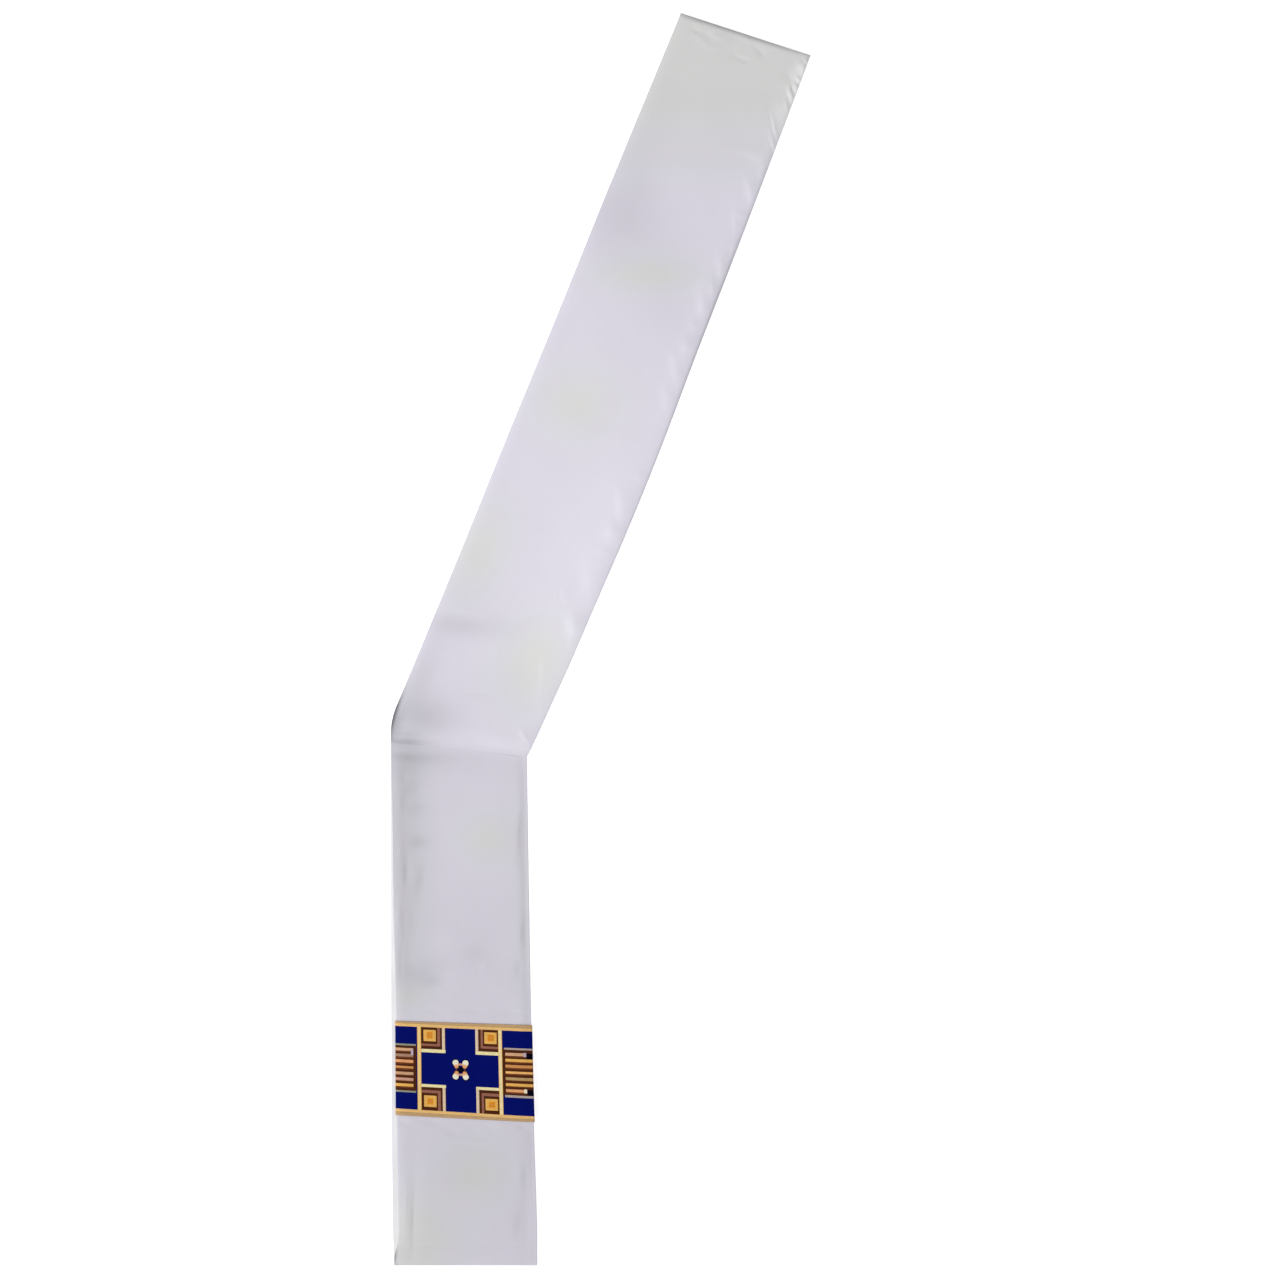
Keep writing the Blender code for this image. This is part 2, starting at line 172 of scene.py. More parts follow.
# rolls and pressed seam allowances that follow an edge, in millimetres
upperOuterRoll = {
    "along": (0.00, 0.10, 0.20, 0.33, 0.47, 0.60, 0.76, 0.89, 1.00),
    "inset": (5, 6, 7, 7, 7, 8, 7, 6, 6),
    "width": (9, 9, 9, 10, 9, 11, 9, 8, 8),
    "height": (0.1, 0.6, 0.0, 0.7, 0.1, 0.6, -0.1, 0.5, 0.0),
}
upperInnerRidge = {  # steeper towards the edge, which is its lee side
    "along": (0.00, 0.14, 0.20, 0.29, 0.37, 0.42, 0.50, 0.57, 0.65, 0.70, 0.76, 0.82, 0.90, 1.00),
    "inset": (8, 8, 8, 8, 10, 9, 8, 9, 8, 8, 7, 6, 6, 6),
    "width": (12, 12, 12, 13, 12, 10, 9, 10, 10, 11, 9, 7, 7, 7),
    "lee": (12, 12, 13, 12, 11, 9, 8, 9, 7, 7, 6, 6, 6, 6),
    "height": (0.1, 0.4, 1.0, 1.3, 0.9, 0.4, 0.4, 0.8, 0.9, 0.8, 0.3, 0.4, 0.4, 0.1),
}
# how far the loft has settled beside the upper panel's inner edge
upperInnerSettling = {
    "along": (0.00, 0.15, 0.30, 0.42, 0.55, 0.88, 0.95, 1.00),
    "share": (0.60, 0.60, 0.50, 0.25, 0.05, 0.05, 0.70, 0.85),
}
lowerOuterGroove = {
    "along": (0.00, 0.06, 0.12, 0.19, 0.27, 0.33, 0.40, 0.46, 0.52, 0.78, 0.87, 0.97, 1.00),
    "inset": (12, 13, 13, 14, 12, 16, 13, 17, 15, 16, 17, 17, 17),
    "width": (8, 8, 9, 7, 8, 9, 7, 9, 7, 6, 6, 6, 6),
    "height": (0.0, -0.6, -0.45, -0.25, -0.35, -0.3, -0.35, -0.5, 0.0, -0.2, -0.5, -0.35, -0.2),
}
lowerInnerGroove = {
    "along": (0.00, 0.08, 0.22, 0.38, 0.50, 0.76, 0.88, 1.00),
    "inset": (2, 2, 3, 4, 6, 8, 9, 9),
    "width": (4, 4, 4, 4, 5, 5, 5, 5),
    "height": (0.0, -0.3, -0.4, -0.3, 0.0, -0.3, -0.5, -0.3),
}

# folds: x, y in millimetres from the outer end of the hip seam, turn of the long axis in degrees
# from +X, then reach along it, width across it and height. The pleats step up below their line
hipPleats = (
    (0, 0.2, -3, 30, 2.1, 0.9), (0, -11.4, -5, 34, 4.0, 1.0),
)
swells = (
    # along the upper panel, which is fullest at its middle
    (157, 223, 68, 150, 42, 0.9), (205, 392, 66, 60, 30, 0.5), (222, 492, 70, 85, 34, -0.6),
    (292, 575, 60, 50, 26, 0.5),
    # hollows and swells above the hip
    (69, 107, -8, 32, 11, -0.9), (62, 128, -12, 38, 10, 0.5), (30, 64, 60, 45, 16, -0.5),
    (92, 46, 20, 34, 15, 0.5),
    # cloth pushed up on the outside of the turn
    (10, -6, -70, 34, 30, 1.4), (4, 24, 72, 26, 4.0, 0.7),
    # lip at the inner end of the seam
    (114, 0, -9, 30, 6.5, 0.9),
    # below the seam
    (70, -22, -5, 62, 8.0, -0.6), (60, -110, 84, 62, 30, 0.4), (95, -60, 70, 34, 18, 0.3),
    # hollows and swells above the band
    (37, -226, 35, 17, 11, -0.8), (83, -198, 20, 16, 10, -0.6), (66, -214, 15, 16, 10, 0.5),
    (110, -232, -15, 24, 12, 0.4),
    # slack below the band
    (48, -385, 4, 44, 12, 0.4), (92, -402, -6, 38, 11, -0.5), (52, -428, 8, 36, 12, -0.4),
    (102, -446, 5, 30, 12, 0.4),
)
fineCreases = (
    # unevenness under the shoulder fold
    (284, 664, -10, 5, 2.4, 0.5), (283, 657, -35, 4, 2.2, -0.45), (300, 659, 25, 5, 2.2, 0.55),
    (294, 652, -50, 5, 2.4, -0.4), (303, 651, -10, 4, 2.4, 0.35), (316, 657, -25, 5, 2.4, -0.3),
    (317, 650, 60, 4, 2.2, -0.5), (330, 649, -30, 5, 2.2, 0.55), (318, 634, 75, 4, 2.4, -0.5),
    (326, 630, -20, 5, 2.2, -0.45), (342, 646, 20, 4, 2.2, 0.5), (342, 637, -55, 6, 2.2, -0.65),
    (350, 643, -10, 6, 2.6, 0.4), (360, 640, -15, 7, 3.2, 0.4), (310, 606, 8, 8, 3.0, -0.14),
    (343, 601, -12, 9, 3.0, -0.14), (283, 652, -30, 4, 2.0, 0.35), (291, 645, -40, 4, 2.0, 0.3),
    (300, 641, 20, 4, 2.0, 0.3),
    # dip above the hip
    (70, 112, -6, 18, 6.5, -0.5), (66, 121, -8, 18, 4.0, 0.4),
    # wedges at the outer end of the hip seam
    (13, 5.4, -5, 15, 1.8, 0.3), (13, -4.2, -4, 17, 2.0, 0.3),
    # round the hip
    (3.5, 24, 70, 9, 1.8, 0.5), (8, 27, 66, 9, 1.8, -0.35), (12, 33, 62, 8, 2.0, 0.4),
    (82, 44, 5, 9, 2.2, -0.35), (124, 4.5, -55, 7, 2.4, 0.5), (12.5, -34, 60, 5, 3.0, -0.5),
    # lower panel
    (14, -53, 80, 12, 5.0, -0.5), (9, -60, 88, 9, 2.4, 0.4), (25, -93, 60, 8, 5.0, -0.6),
    (9, -102, 85, 9, 2.6, 0.5), (14.5, -120, 88, 14, 2.6, -0.55), (28, -135, 80, 10, 4.0, -0.35),
    (7.5, -160, 86, 12, 2.4, 0.45), (13, -170, 90, 12, 2.2, -0.4), (10, -205, 88, 18, 2.6, -0.5),
    (36, -222, 15, 12, 7.0, -0.8), (44, -213, 20, 9, 4.0, 0.4), (83, -195, 0, 11, 5.5, -0.5),
    (88, -206, 70, 7, 3.0, 0.4), (66, -171, 20, 4, 3.0, -0.35), (120.5, -87, 88, 16, 2.2, -0.5),
    (124, -177, 88, 10, 2.4, -0.45), (119, -211, 85, 7, 3.0, -0.4), (21, -441, 89, 24, 2.2, -0.5),
    (14, -430, 89, 20, 1.8, 0.3), (125, -402, 88, 9, 3.0, -0.35), (119, -447, 86, 13, 4.0, -0.35),
    (98, -444, 0, 9, 3.0, -0.3),
    # outer hem corner turns up a little
    (2.5, -477, 80, 7, 2.0, 0.7),
)

# creases along the upper panel's inner edge: distance up the edge from the hip seam, distance in
# from it, turn off its line, reach, width, height
edgeCreases = (
    (597, 15.5, 70, 7.4, 5.4, 0.57), (593, 26, 98, 9.5, 2.7, 0.28), (583, 3.5, 8, 12.6, 3, 0.66),
    (563.5, 7.5, 33, 10.5, 4.3, 1.14), (531.5, 11, 22, 12.6, 2.4, 0.47), (539, 9, 0, 3.2, 2.7, 0.38),
    (509, 4, 5, 5.2, 2.2, 0.47), (486.5, 6.5, 27, 11.6, 4.3, 1.04), (464, 7.5, 25, 9.5, 2.4, 0.66),
    (466, 13.5, 20, 12.6, 8.8, 0.95), (448, 10, 27, 9.5, 4.6, 1.23), (427, 12.5, 20, 4.2, 2.7, 0.38),
    (408.5, 12, 12, 8.4, 4.9, 1.14), (395, 18, 60, 7.4, 5.5, 0.66), (381.5, 11.5, 30, 12.6, 3.5, 0.66),
    (355, 10, 30, 11.6, 4.1, 0.66), (278.5, 9, 30, 4.2, 2.7, 0.47), (248.5, 14, 27, 14.7, 4.7, 1.04),
    (223, 13.5, 10, 8.4, 5.4, 1.14), (203, 13.5, 10, 4.2, 5.4, 0.47), (176.5, 13.5, 25, 18.9, 6.6, 0.76),
    (152.5, 30.5, 25, 6.3, 3, 0.38), (130, 11.5, 15, 9.5, 6.1, 1.90), (121.5, 8, 20, 7.4, 3.2, 0.47),
    (114, 7, 20, 5.2, 2.7, 0.38), (80.5, 20.5, 22, 12.6, 3.5, 0.43), (53.5, 8.5, 24, 21, 5.4, 0.38),
    (19.5, 9.5, 40, 8.4, 5.5, 0.76),
)
cornerCrumples = (  # the same, round the inner corner of the shoulder
    # its edge curls up
    (672, 0, 0, 32, 6, 1.1),
    # crumples
    (688, 4.5, 35, 4.5, 4, 1.2), (694, 2, 20, 2.6, 1.8, 1.3), (685, 1.5, 5, 6, 1.7, 0.9),
    (673.5, 10.5, 40, 6, 4, -0.6), (675.5, 2.5, 60, 2.5, 1.4, 0.8), (671.5, 3, 50, 3, 1.4, -0.7),
    (662.5, 7, 20, 4.5, 1.6, 1), (664.5, 4.5, 30, 4, 1.4, -0.8), (667, 1.5, 20, 4, 1.5, 1.1),
    (656.5, 6, 20, 3.5, 1.4, -0.7), (658, 3, 20, 4, 1.6, 1.2), (648.5, 4, 30, 4, 1.6, 0.8),
    (648, 1.5, 10, 4, 1.2, -0.5), (646, 6.5, 20, 8, 7, 0.7), (627.5, 11, 33, 9, 1.5, -0.6),
    (626, 8.5, 33, 9, 1.8, 0.8), (618.5, 6.5, 30, 8, 1.4, -0.5), (614, 5, 28, 9, 1.8, 0.8),
    (606, 2.5, 30, 5, 1.5, -0.4),
)

# painted shade and painted light, partly soil: x, y, turn, reach and width as for the folds, and how much
# darker, lighter where it is below 0
soilAndShadeMarks = (
    # painted shade along the outer side below the hip
    (12, -88, 90, 95, 22, 0.125), (15, -205, 90, 38, 20, 0.05), (15, -38, 88, 20, 8, 0.055),
    # upper panel: painted light on its inner side by the shoulder, a little painted shade further down
    (378, 616, 66, 30, 7, -0.06), (367, 586, 66, 42, 8, -0.045), (250, 450, 66, 35, 40, 0.03),
    # lighter places on the lower panel
    (75, -112, 88, 60, 34, -0.03), (44, -183, 0, 14, 14, -0.035), (15, -440, 88, 52, 13, -0.05),
    (131, -440, 88, 40, 5, -0.06),
    # painted light on the middle of the upper panel, lightest just above the hip
    (172, 172, 66, 95, 30, -0.065), (158, 75, 60, 40, 26, -0.05), (150, 110, 68, 16, 7, -0.05),
    # painted shade in the hollows above the hip
    (60, 118, 66, 50, 24, 0.05), (30, 22, -8, 30, 20, 0.20), (5, 14, 76, 15, 5, 0.20),
    (15, 5, -3, 14, 6, 0.12), (66, 40, 10, 60, 34, 0.05), (28, 60, 70, 30, 14, 0.09),
    (74, 108, -4, 38, 11, 0.11),
    # painted shade in the wedge creases at the hip
    (16, -23, -4, 20, 11, 0.10), (36, -16, -4, 22, 6, 0.06), (15, -0.2, -3, 18, 2.6, 0.17),
    (13, -5.6, -4, 15, 2.4, 0.10), (14, -14.5, -5, 17, 4.6, 0.10), (64, -14, -5, 60, 9, 0.03),
    # painted shade in small creases and hollows on the lower panel
    (20, -44, 60, 11, 8, 0.07), (23, -62, 10, 10, 7, 0.07), (27, -93, 0, 9, 6, 0.10),
    (13.5, -122, 90, 14, 3, 0.09), (27, -128, 80, 14, 5, 0.07), (16, -165, 88, 22, 6, 0.05),
    (39, -222, 5, 9, 6, 0.10), (27, -214, 10, 19, 10, 0.08), (12, -205, 88, 22, 4, 0.05),
    (1.2, -55, 90, 75, 1.6, 0.10), (83, -195, 0, 12, 8, 0.04), (70, -170, 0, 60, 50, 0.02),
    (121, -90, 88, 26, 4, 0.09), (123.5, -177, 88, 14, 4, 0.07), (118, -210, 80, 8, 5, 0.04),
    (64, -380, 0, 90, 30, 0.02), (21, -441, 89, 24, 3, 0.03), (125, -402, 88, 12, 5, 0.05),
    (119, -446, 85, 16, 7, 0.05),
    # painted shade at the outer hem corner, where it turns up
    (3.4, -476, 84, 9, 1.9, 0.75),
    # broad shade on the upper panel
    (215, 488, 66, 40, 34, 0.12), (262, 410, 66, 60, 60, 0.05), (300, 570, 66, 70, 60, 0.05),
    (240, 560, 66, 60, 24, 0.05),
)
# painted shade: how much darker the cloth is painted from the hip down to the hem
shadeBelowHip = {"along": (0.00, 0.80, 1.00), "share": (0.118, 0.118, 0.080)}

# where the cloth has lost its blue cast, besides the whole neck end
plainMarks = (
    (238, 431, 0, 44, 16, 1.0), (172, 312, 0, 38, 32, 1.0), (83, 176, 66, 42, 24, 1.0),
    (133, 73, 66, 42, 32, 1.1), (90, -90, 0, 24, 22, 0.9), (14, -130, 90, 150, 20, 0.4),
    (122, -150, 90, 120, 10, 0.3), (14, -235, 0, 26, 10, 0.6), (79, -400, 0, 28, 28, 0.9),
    (22, -462, 0, 38, 46, 1.1),
)
plainNeck = (0.50, 0.60)  # metres above the hip between which it turns plain all over

# small pulls along the stitched edges of the band: x, how far outside the edge, reach, width, height
pullsAboveBand = (
    (19, 9, 6, 2.4, -0.3), (39.5, 11, 7, 2.4, -0.5), (60, 8, 6, 2.2, 0.3), (78.7, 12, 7, 2.4, -0.5),
    (90, 5, 13, 2.0, 0.35), (111.5, 12, 6, 2.4, -0.45), (122, 7, 5, 2.2, 0.3),
)
pullsBelowBand = (
    (10.7, 6, 5, 3.0, -0.7), (19.6, 3, 6, 2.2, 0.4), (41, 5, 8, 2.8, -0.7), (57.6, 13, 7, 3.0, -0.5),
    (76.6, 10, 7, 3.0, -0.55), (78, 3, 7, 2.0, 0.4), (90.8, 7, 6, 3.0, -0.6), (102, 3, 7, 2.0, 0.4),
    (122.9, 5, 6, 3.0, -0.65), (75, 20, 38, 2.5, 0.3), (74, 26, 9, 3.0, -0.35),
)

# the band; its edges are in metres below the outer end of the hip seam
band = {
    "topOuter": 0.2587,
    "topInner": 0.2626,
    "footOuter": 0.3457,
    "footInner": 0.3522,
    "wall": 0.0008,
    "sideGap": 0.0001,  # where it turns down over the panel's edges
    "edgeRound": 0.0003,
    "shoulder": 0.0005,  # slope where it turns down over the panel's edge
    "columnStep": 0.0008,
    "rowStep": 0.0008,
    "threadLift": 0.00016,  # pattern threads stand proud of the ground
    "turnedColumns": 3,
    "turnDown": 0.0011,
    "sewnDip": 0.00004,  # where the stitches draw it in
    "sewnReach": 0.0012,
    "heldGap": 0.00008,  # along its stitched edges
    "heldReach": 0.0022,
}


# place against a line through x, y: how far along it, and how far to its upper side
def againstLine(place, x, y, turn):
    offset, turn = place - np.array((x, y)) * mm, math.radians(turn)
    lengthways = offset[:, 0] * math.cos(turn) + offset[:, 1] * math.sin(turn)
    return lengthways, offset[:, 1] * math.cos(turn) - offset[:, 0] * math.sin(turn)


# 1 at nothing, falling away over the reach
def faded(distance, reach):
    return np.exp(-(distance / reach) ** 2)


# ridges and troughs; lee is how much wider their side away from the light is
def gaussianHeight(place, rows, lee=1.0):
    total = np.zeros(len(place))
    for x, y, turn, reach, width, height in rows:
        lengthways, sideways = againstLine(place, x, y, turn)
        across = sideways / np.where(sideways < 0, lee * width * mm, width * mm)
        total += height * mm * np.exp(-(lengthways / (reach * mm)) ** 2 - across ** 2)
    return total


def pleatHeight(place):
    total = np.zeros(len(place))
    for x, y, turn, reach, width, height in hipPleats:
        lengthways, above = againstLine(place, x, y, turn)
        spread = np.exp(-(lengthways / (reach * mm)) ** 2 - (above / form["pleatFade"]) ** 2)
        total -= height * mm * np.tanh(above / (width * mm)) / 2 * spread
    return total


def foldHeight(table, along, fromEdge):
    columns = ("inset", "width", "height")
    inset, width, height = (smoothColumn(table, column, along) * mm for column in columns)
    if "lee" in table:
        width = np.where(fromEdge < inset, smoothColumn(table, "lee", along) * mm, width)
    return height * faded(fromEdge - inset, width)


def rolled(distance, roll):
    return 1 - np.exp(-np.maximum(distance, 0) / roll)


# a trough ends softly where the cloth meets the layer under it
def settled(height):
    return (height + np.sqrt(height ** 2 + form["softFloor"] ** 2)) / 2


# uneven lie of the cloth, the same on every run
def unevenHeight(place, seed):
    total = np.empty(len(place))
    for index, (x, y) in enumerate(place):
        wave = noise.noise(Vector((x, y, seed)) / form["waveLength"])
        ripple = noise.noise(Vector((x, y, seed + 1)) / form["rippleLength"])
        total[index] = form["waveHeight"] * wave + form["rippleHeight"] * ripple
    return total


def bandEdgeDrop(place, edge):
    outer, inner = band[edge + "Outer"], band[edge + "Inner"]
    return outer + (inner - outer) * place[:, 0] / stole["hipWidth"]


def bandPulls(place):
    below = -place[:, 1]
    pulls = np.zeros(len(place))
    for edge, rows, side in (("top", pullsAboveBand, -1), ("foot", pullsBelowBand, 1)):
        outside = (below - bandEdgeDrop(place, edge)) * side
        for x, away, reach, width, height in rows:
            shape = ((place[:, 0] - x * mm) / (reach * mm)) ** 2 + ((outside - away * mm) / (width * mm)) ** 2
            pulls += height * mm * np.exp(-shape)
    return pulls


# place against the upper panel's inner edge: distance up it and in from it
def placeByInnerEdge(place, fromInner):
    line = shoulderInner - hipInner
    return np.column_stack(((place - hipInner) @ (line / np.hypot(*line)), fromInner))


# the hip seam's soft step, the same curve on both panels
def hipStep(aboveSeam):
    step = np.zeros(len(aboveSeam))
    for at, reach, height in form["hipStep"]:
        step += height * faded(aboveSeam - at, reach)
    return step


def loftedCloth(across, width):
    fromOuter, fromInner = across * width, (1 - across) * width
    height = form["loft"] * rolled(fromOuter, form["edgeRoll"]) * rolled(fromInner, form["edgeRoll"])
    return fromOuter, fromInner, height


def frontUpperLift(place, across, along, width):
    fromOuter, fromInner, height = loftedCloth(across, width)
    fromFold, fromSeam = (1 - along) * upperLength, along * upperLength
    settling = smoothColumn(upperInnerSettling, "share", along)
    height *= 1 - settling * faded(fromInner, form["settleReach"])
    height += foldHeight(upperOuterRoll, along, fromOuter)
    height += foldHeight(upperInnerRidge, along, fromInner)
    height += hipStep(fromSeam) + pleatHeight(place) + unevenHeight(place, form["seeds"][0])
    height += gaussianHeight(place, swells) + gaussianHeight(place, fineCreases)
    byEdge = placeByInnerEdge(place, fromInner)
    height += gaussianHeight(byEdge, edgeCreases, form["creaseLee"]) + gaussianHeight(byEdge, cornerCrumples)
    return settled(height * rolled(fromFold, form["foldRoll"]))


hem = {"inset": 0.0185, "width": 0.0021, "depth": 0.00024, "pitch": 0.0120, "pucker": 0.3}


# the hem's own stitching draws the cloth in a little
def hemLine(place, fromHem):
    draw = 1 - hem["pucker"] + hem["pucker"] * np.cos(2 * math.pi * place[:, 0] / hem["pitch"])
    return -hem["depth"] * draw * faded(fromHem - hem["inset"], hem["width"])


def frontLowerLift(place, across, along, width):
    fromOuter, fromInner, height = loftedCloth(across, width)
    fromHem, fromSeam = (1 - along) * stole["lowerDrop"], along * stole["lowerDrop"]
    height *= 1 - form["rimFlattening"] * faded(fromInner, form["flatRim"])
    height += foldHeight(lowerOuterGroove, along, fromOuter)
    height += foldHeight(lowerInnerGroove, along, fromInner)
    height += gaussianHeight(place, swells) + gaussianHeight(place, fineCreases)
    height += bandPulls(place) + hemLine(place, fromHem)
    height += hipStep(-fromSeam) + pleatHeight(place) + unevenHeight(place, form["seeds"][1])
    return settled(height * rolled(fromHem, form["hemRoll"]))


frontRise = 2 * stole["wall"] + stole["gap"]  # top of the flat front half over the table


def frontUpperTop(across, along):
    place, width = upperPlace(across, along)
    return np.column_stack((place - middle, frontRise + frontUpperLift(place, across, along, width)))


def frontLowerTop(across, alongOuter, alongInner=None):
    place, width = lowerPlace(across, alongOuter, alongInner)
    along = alongOuter if alongInner is None else alongOuter + (alongInner - alongOuter) * across
    return np.column_stack((place - middle, frontRise + frontLowerLift(place, across, along, width)))


print("stole: shapes ready")


# modelling helpers

def deselectAll():
    bpy.ops.object.select_all(action="DESELECT")


# a grid over the unit square, moved point by point onto a surface
def addSheet(name, columns, rows, surface):
    deselectAll()
    bpy.ops.mesh.primitive_grid_add(
        x_subdivisions=columns, y_subdivisions=rows, size=1, location=(0.5, 0.5, 0))
    bpy.ops.object.transform_apply(location=True)
    piece = bpy.context.object
    piece.name = piece.data.name = name
    shares = np.empty(len(piece.data.vertices) * 3)
    piece.data.vertices.foreach_get("co", shares)
    shares = np.clip(shares.reshape(-1, 3), 0, 1)
    piece.data.vertices.foreach_set("co", surface(shares[:, 0], shares[:, 1]).ravel())
    piece.data.update()
    return piece, shares


# one number for each point, which the piece's material reads by name
def paintPoints(piece, name, values):
    layer = piece.data.attributes.new(name, "FLOAT", "POINT")
    layer.data.foreach_set("value", values)


seamRim = {"share": 0.05, "fadeRows": 4}


# the rims take a rounded edge, which fades out where a panel is sewn to the next one
def weighRims(piece, shares, seamRow):
    ends = np.empty(len(piece.data.edges) * 2, int)
    piece.data.edges.foreach_get("vertices", ends)
    ends = ends.reshape(-1, 2)
    spots = shares[ends % len(shares)]
    upright = np.ptp(ends // len(shares), axis=1) > 0  # between the top and the underside
    sides = np.stack([(abs(spots[:, :, axis] - value) < 1e-5).all(axis=1)
                      for axis in (0, 1) for value in (0, 1)], axis=1)
    weights = np.where(upright, sides.sum(axis=1) > 1, sides.any(axis=1)).astype(float)
    if seamRow is not None:
        row = np.diff(np.unique(shares[:, 1].round(6))).min()
        fromSeam = abs(spots[:, :, 1] - seamRow).mean(axis=1) / row
        weights *= np.clip(fromSeam / seamRim["fadeRows"], seamRim["share"], 1)
    layer = piece.data.attributes.new("bevel_weight_edge", "FLOAT", "EDGE")
    layer.data.foreach_set("value", weights)


def thicken(piece, shares, wall, offset, rounding, segments=4, seamRow=None):
    deselectAll()
    piece.select_set(True)
    bpy.context.view_layer.objects.active = piece
    solid = piece.modifiers.new("wall", "SOLIDIFY")
    solid.thickness = wall
    solid.offset = offset
    solid.use_even_offset = True
    bpy.ops.object.modifier_apply(modifier="wall")
    weighRims(piece, shares, seamRow)
    edge = piece.modifiers.new("edge", "BEVEL")
    edge.width = rounding
    edge.segments = segments
    edge.limit_method = "WEIGHT"
    bpy.ops.object.modifier_apply(modifier="edge")
    piece.data.shade_smooth()


outlineSteps = 120


def outlineOf(place):
    steps = np.linspace(0, 1, outlineSteps)
    start, end, backwards = 0 * steps, 0 * steps + 1, steps[::-1]
    sides = ((steps, start), (end, steps), (backwards, end), (start, backwards))
    return np.concatenate([place(across, along)[0] for across, along in sides])


def layCloth(piece, outline, node):
    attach(piece, "root")
    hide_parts(node)


# node groups

def newGroup(name, inputs, outputs):
    group = bpy.data.node_groups.new(name, "ShaderNodeTree")
    for label, kind, value in inputs:
        socket = group.interface.new_socket(label, in_out="INPUT", socket_type="NodeSocket" + kind)
        if value is not None:
            socket.default_value = value
    for label, kind in outputs:
        group.interface.new_socket(label, in_out="OUTPUT", socket_type="NodeSocket" + kind)
    return group, group.nodes.new("NodeGroupInput").outputs, group.nodes.new("NodeGroupOutput").inputs


def connect(tree, value, socket):
    if isinstance(value, bpy.types.NodeSocket):
        tree.links.new(value, socket)
    else:
        socket.default_value = value


def addMath(tree, operation, first, second=0.0, third=0.0, clamp=False):
    node = tree.nodes.new("ShaderNodeMath")
    node.operation = operation
    node.use_clamp = clamp
    for value, socket in zip((first, second, third), node.inputs):
        connect(tree, value, socket)
    return node.outputs[0]


def addMix(tree, share, first, second):
    node = tree.nodes.new("ShaderNodeMix")
    node.data_type = "RGBA"
    for value, label in ((share, "Factor_Float"), (first, "A_Color"), (second, "B_Color")):
        connect(tree, value, next(s for s in node.inputs if s.identifier == label))
    return next(s for s in node.outputs if s.identifier == "Result_Color")


def addNoise(tree, place, scale, detail=2.0):
    node = tree.nodes.new("ShaderNodeTexNoise")
    node.inputs["Scale"].default_value = scale
    node.inputs["Detail"].default_value = detail
    tree.links.new(place, node.inputs["Vector"])
    return node.outputs["Fac"]


# value from one range to another, held at both ends
def addRange(tree, value, fromLow, fromHigh, toLow=0.0, toHigh=1.0):
    node = tree.nodes.new("ShaderNodeMapRange")
    labels = ("From Min", "From Max", "To Min", "To Max")
    for label, number in zip(labels, (fromLow, fromHigh, toLow, toHigh)):
        node.inputs[label].default_value = number
    connect(tree, value, node.inputs["Value"])
    return node.outputs["Result"]


def splitPlace(tree, place):
    node = tree.nodes.new("ShaderNodeSeparateXYZ")
    tree.links.new(place, node.inputs[0])
    return node.outputs


def joinPlace(tree, x, y):
    node = tree.nodes.new("ShaderNodeCombineXYZ")
    connect(tree, x, node.inputs[0])
    connect(tree, y, node.inputs[1])
    return node.outputs[0]


# over and under of a plain weave, with thick and thin stretches of yarn
yarnGrain = ((1500.0, 60.0), (60.0, 1500.0))  # warp runs along y, weft along x


def makePlainWeave():
    inputs = [("Place", "Vector", None), ("Pitch", "Float", 0.0005), ("Slub", "Float", 0.4)]
    group, given, out = newGroup("plainWeave", inputs, [("Height", "Float"), ("Slubs", "Float")])
    place = splitPlace(group, given["Place"])
    waves = []
    for axis in (0, 1):
        turns = addMath(group, "DIVIDE", place[axis], given["Pitch"])
        waves.append(addMath(group, "SINE", addMath(group, "MULTIPLY", turns, 2 * math.pi)))
    weave = addMath(group, "MULTIPLY_ADD", addMath(group, "MULTIPLY", *waves), 0.5, 0.5)
    yarns = []
    for grain in yarnGrain:
        stretched = [addMath(group, "MULTIPLY", place[axis], grain[axis]) for axis in (0, 1)]
        yarns.append(addNoise(group, joinPlace(group, *stretched), 1.0))
    slubs = addMath(group, "MULTIPLY", addMath(group, "ADD", *yarns), 0.5)
    group.links.new(slubs, out["Slubs"])
    mixed = group.nodes.new("ShaderNodeMix")
    for value, label in ((given["Slub"], "Factor"), (weave, "A"), (slubs, "B")):
        group.links.new(value, mixed.inputs[label])
    group.links.new(mixed.outputs["Result"], out["Height"])
    return group


# inside of an upright rectangle, given by its middle and its half sizes
def makePatchMask():
    inputs = [(label, "Float", 0.0) for label in ("X", "Y", "MiddleX", "HalfX", "MiddleY", "HalfY")]
    group, given, out = newGroup("patchMask", inputs, [("Mask", "Float")])
    inside = []
    for axis in "XY":
        away = addMath(group, "ABSOLUTE", addMath(group, "SUBTRACT", given[axis], given["Middle" + axis]))
        inside.append(addMath(group, "LESS_THAN", away, given["Half" + axis]))
    group.links.new(addMath(group, "MULTIPLY", *inside), out["Mask"])
    return group


plainWeave, patchMask = makePlainWeave(), makePatchMask()


def useGroup(tree, group, **values):
    node = tree.nodes.new("ShaderNodeGroup")
    node.node_tree = group
    for label, value in values.items():
        connect(tree, value, node.inputs[label])
    return node.outputs


def newMaterial(name, roughness, sheen=0.0, specular=0.3, metallic=0.0):
    material = bpy.data.materials.new(name)
    material.use_nodes = True
    shader = material.node_tree.nodes["Principled BSDF"]
    for label, number in (("Roughness", roughness), ("Sheen Weight", sheen), ("Sheen Roughness", 0.45),
                          ("Specular IOR Level", specular), ("Metallic", metallic)):
        shader.inputs[label].default_value = number
    return material, material.node_tree, shader


def addBump(tree, shader, height, distance):
    bump = tree.nodes.new("ShaderNodeBump")
    bump.inputs["Distance"].default_value = distance
    bump.inputs["Strength"].default_value = 1.0
    tree.links.new(height, bump.inputs["Height"])
    tree.links.new(bump.outputs["Normal"], shader.inputs["Normal"])


def readPoints(tree, name):
    node = tree.nodes.new("ShaderNodeAttribute")
    node.attribute_name = name
    return node.outputs["Fac"]


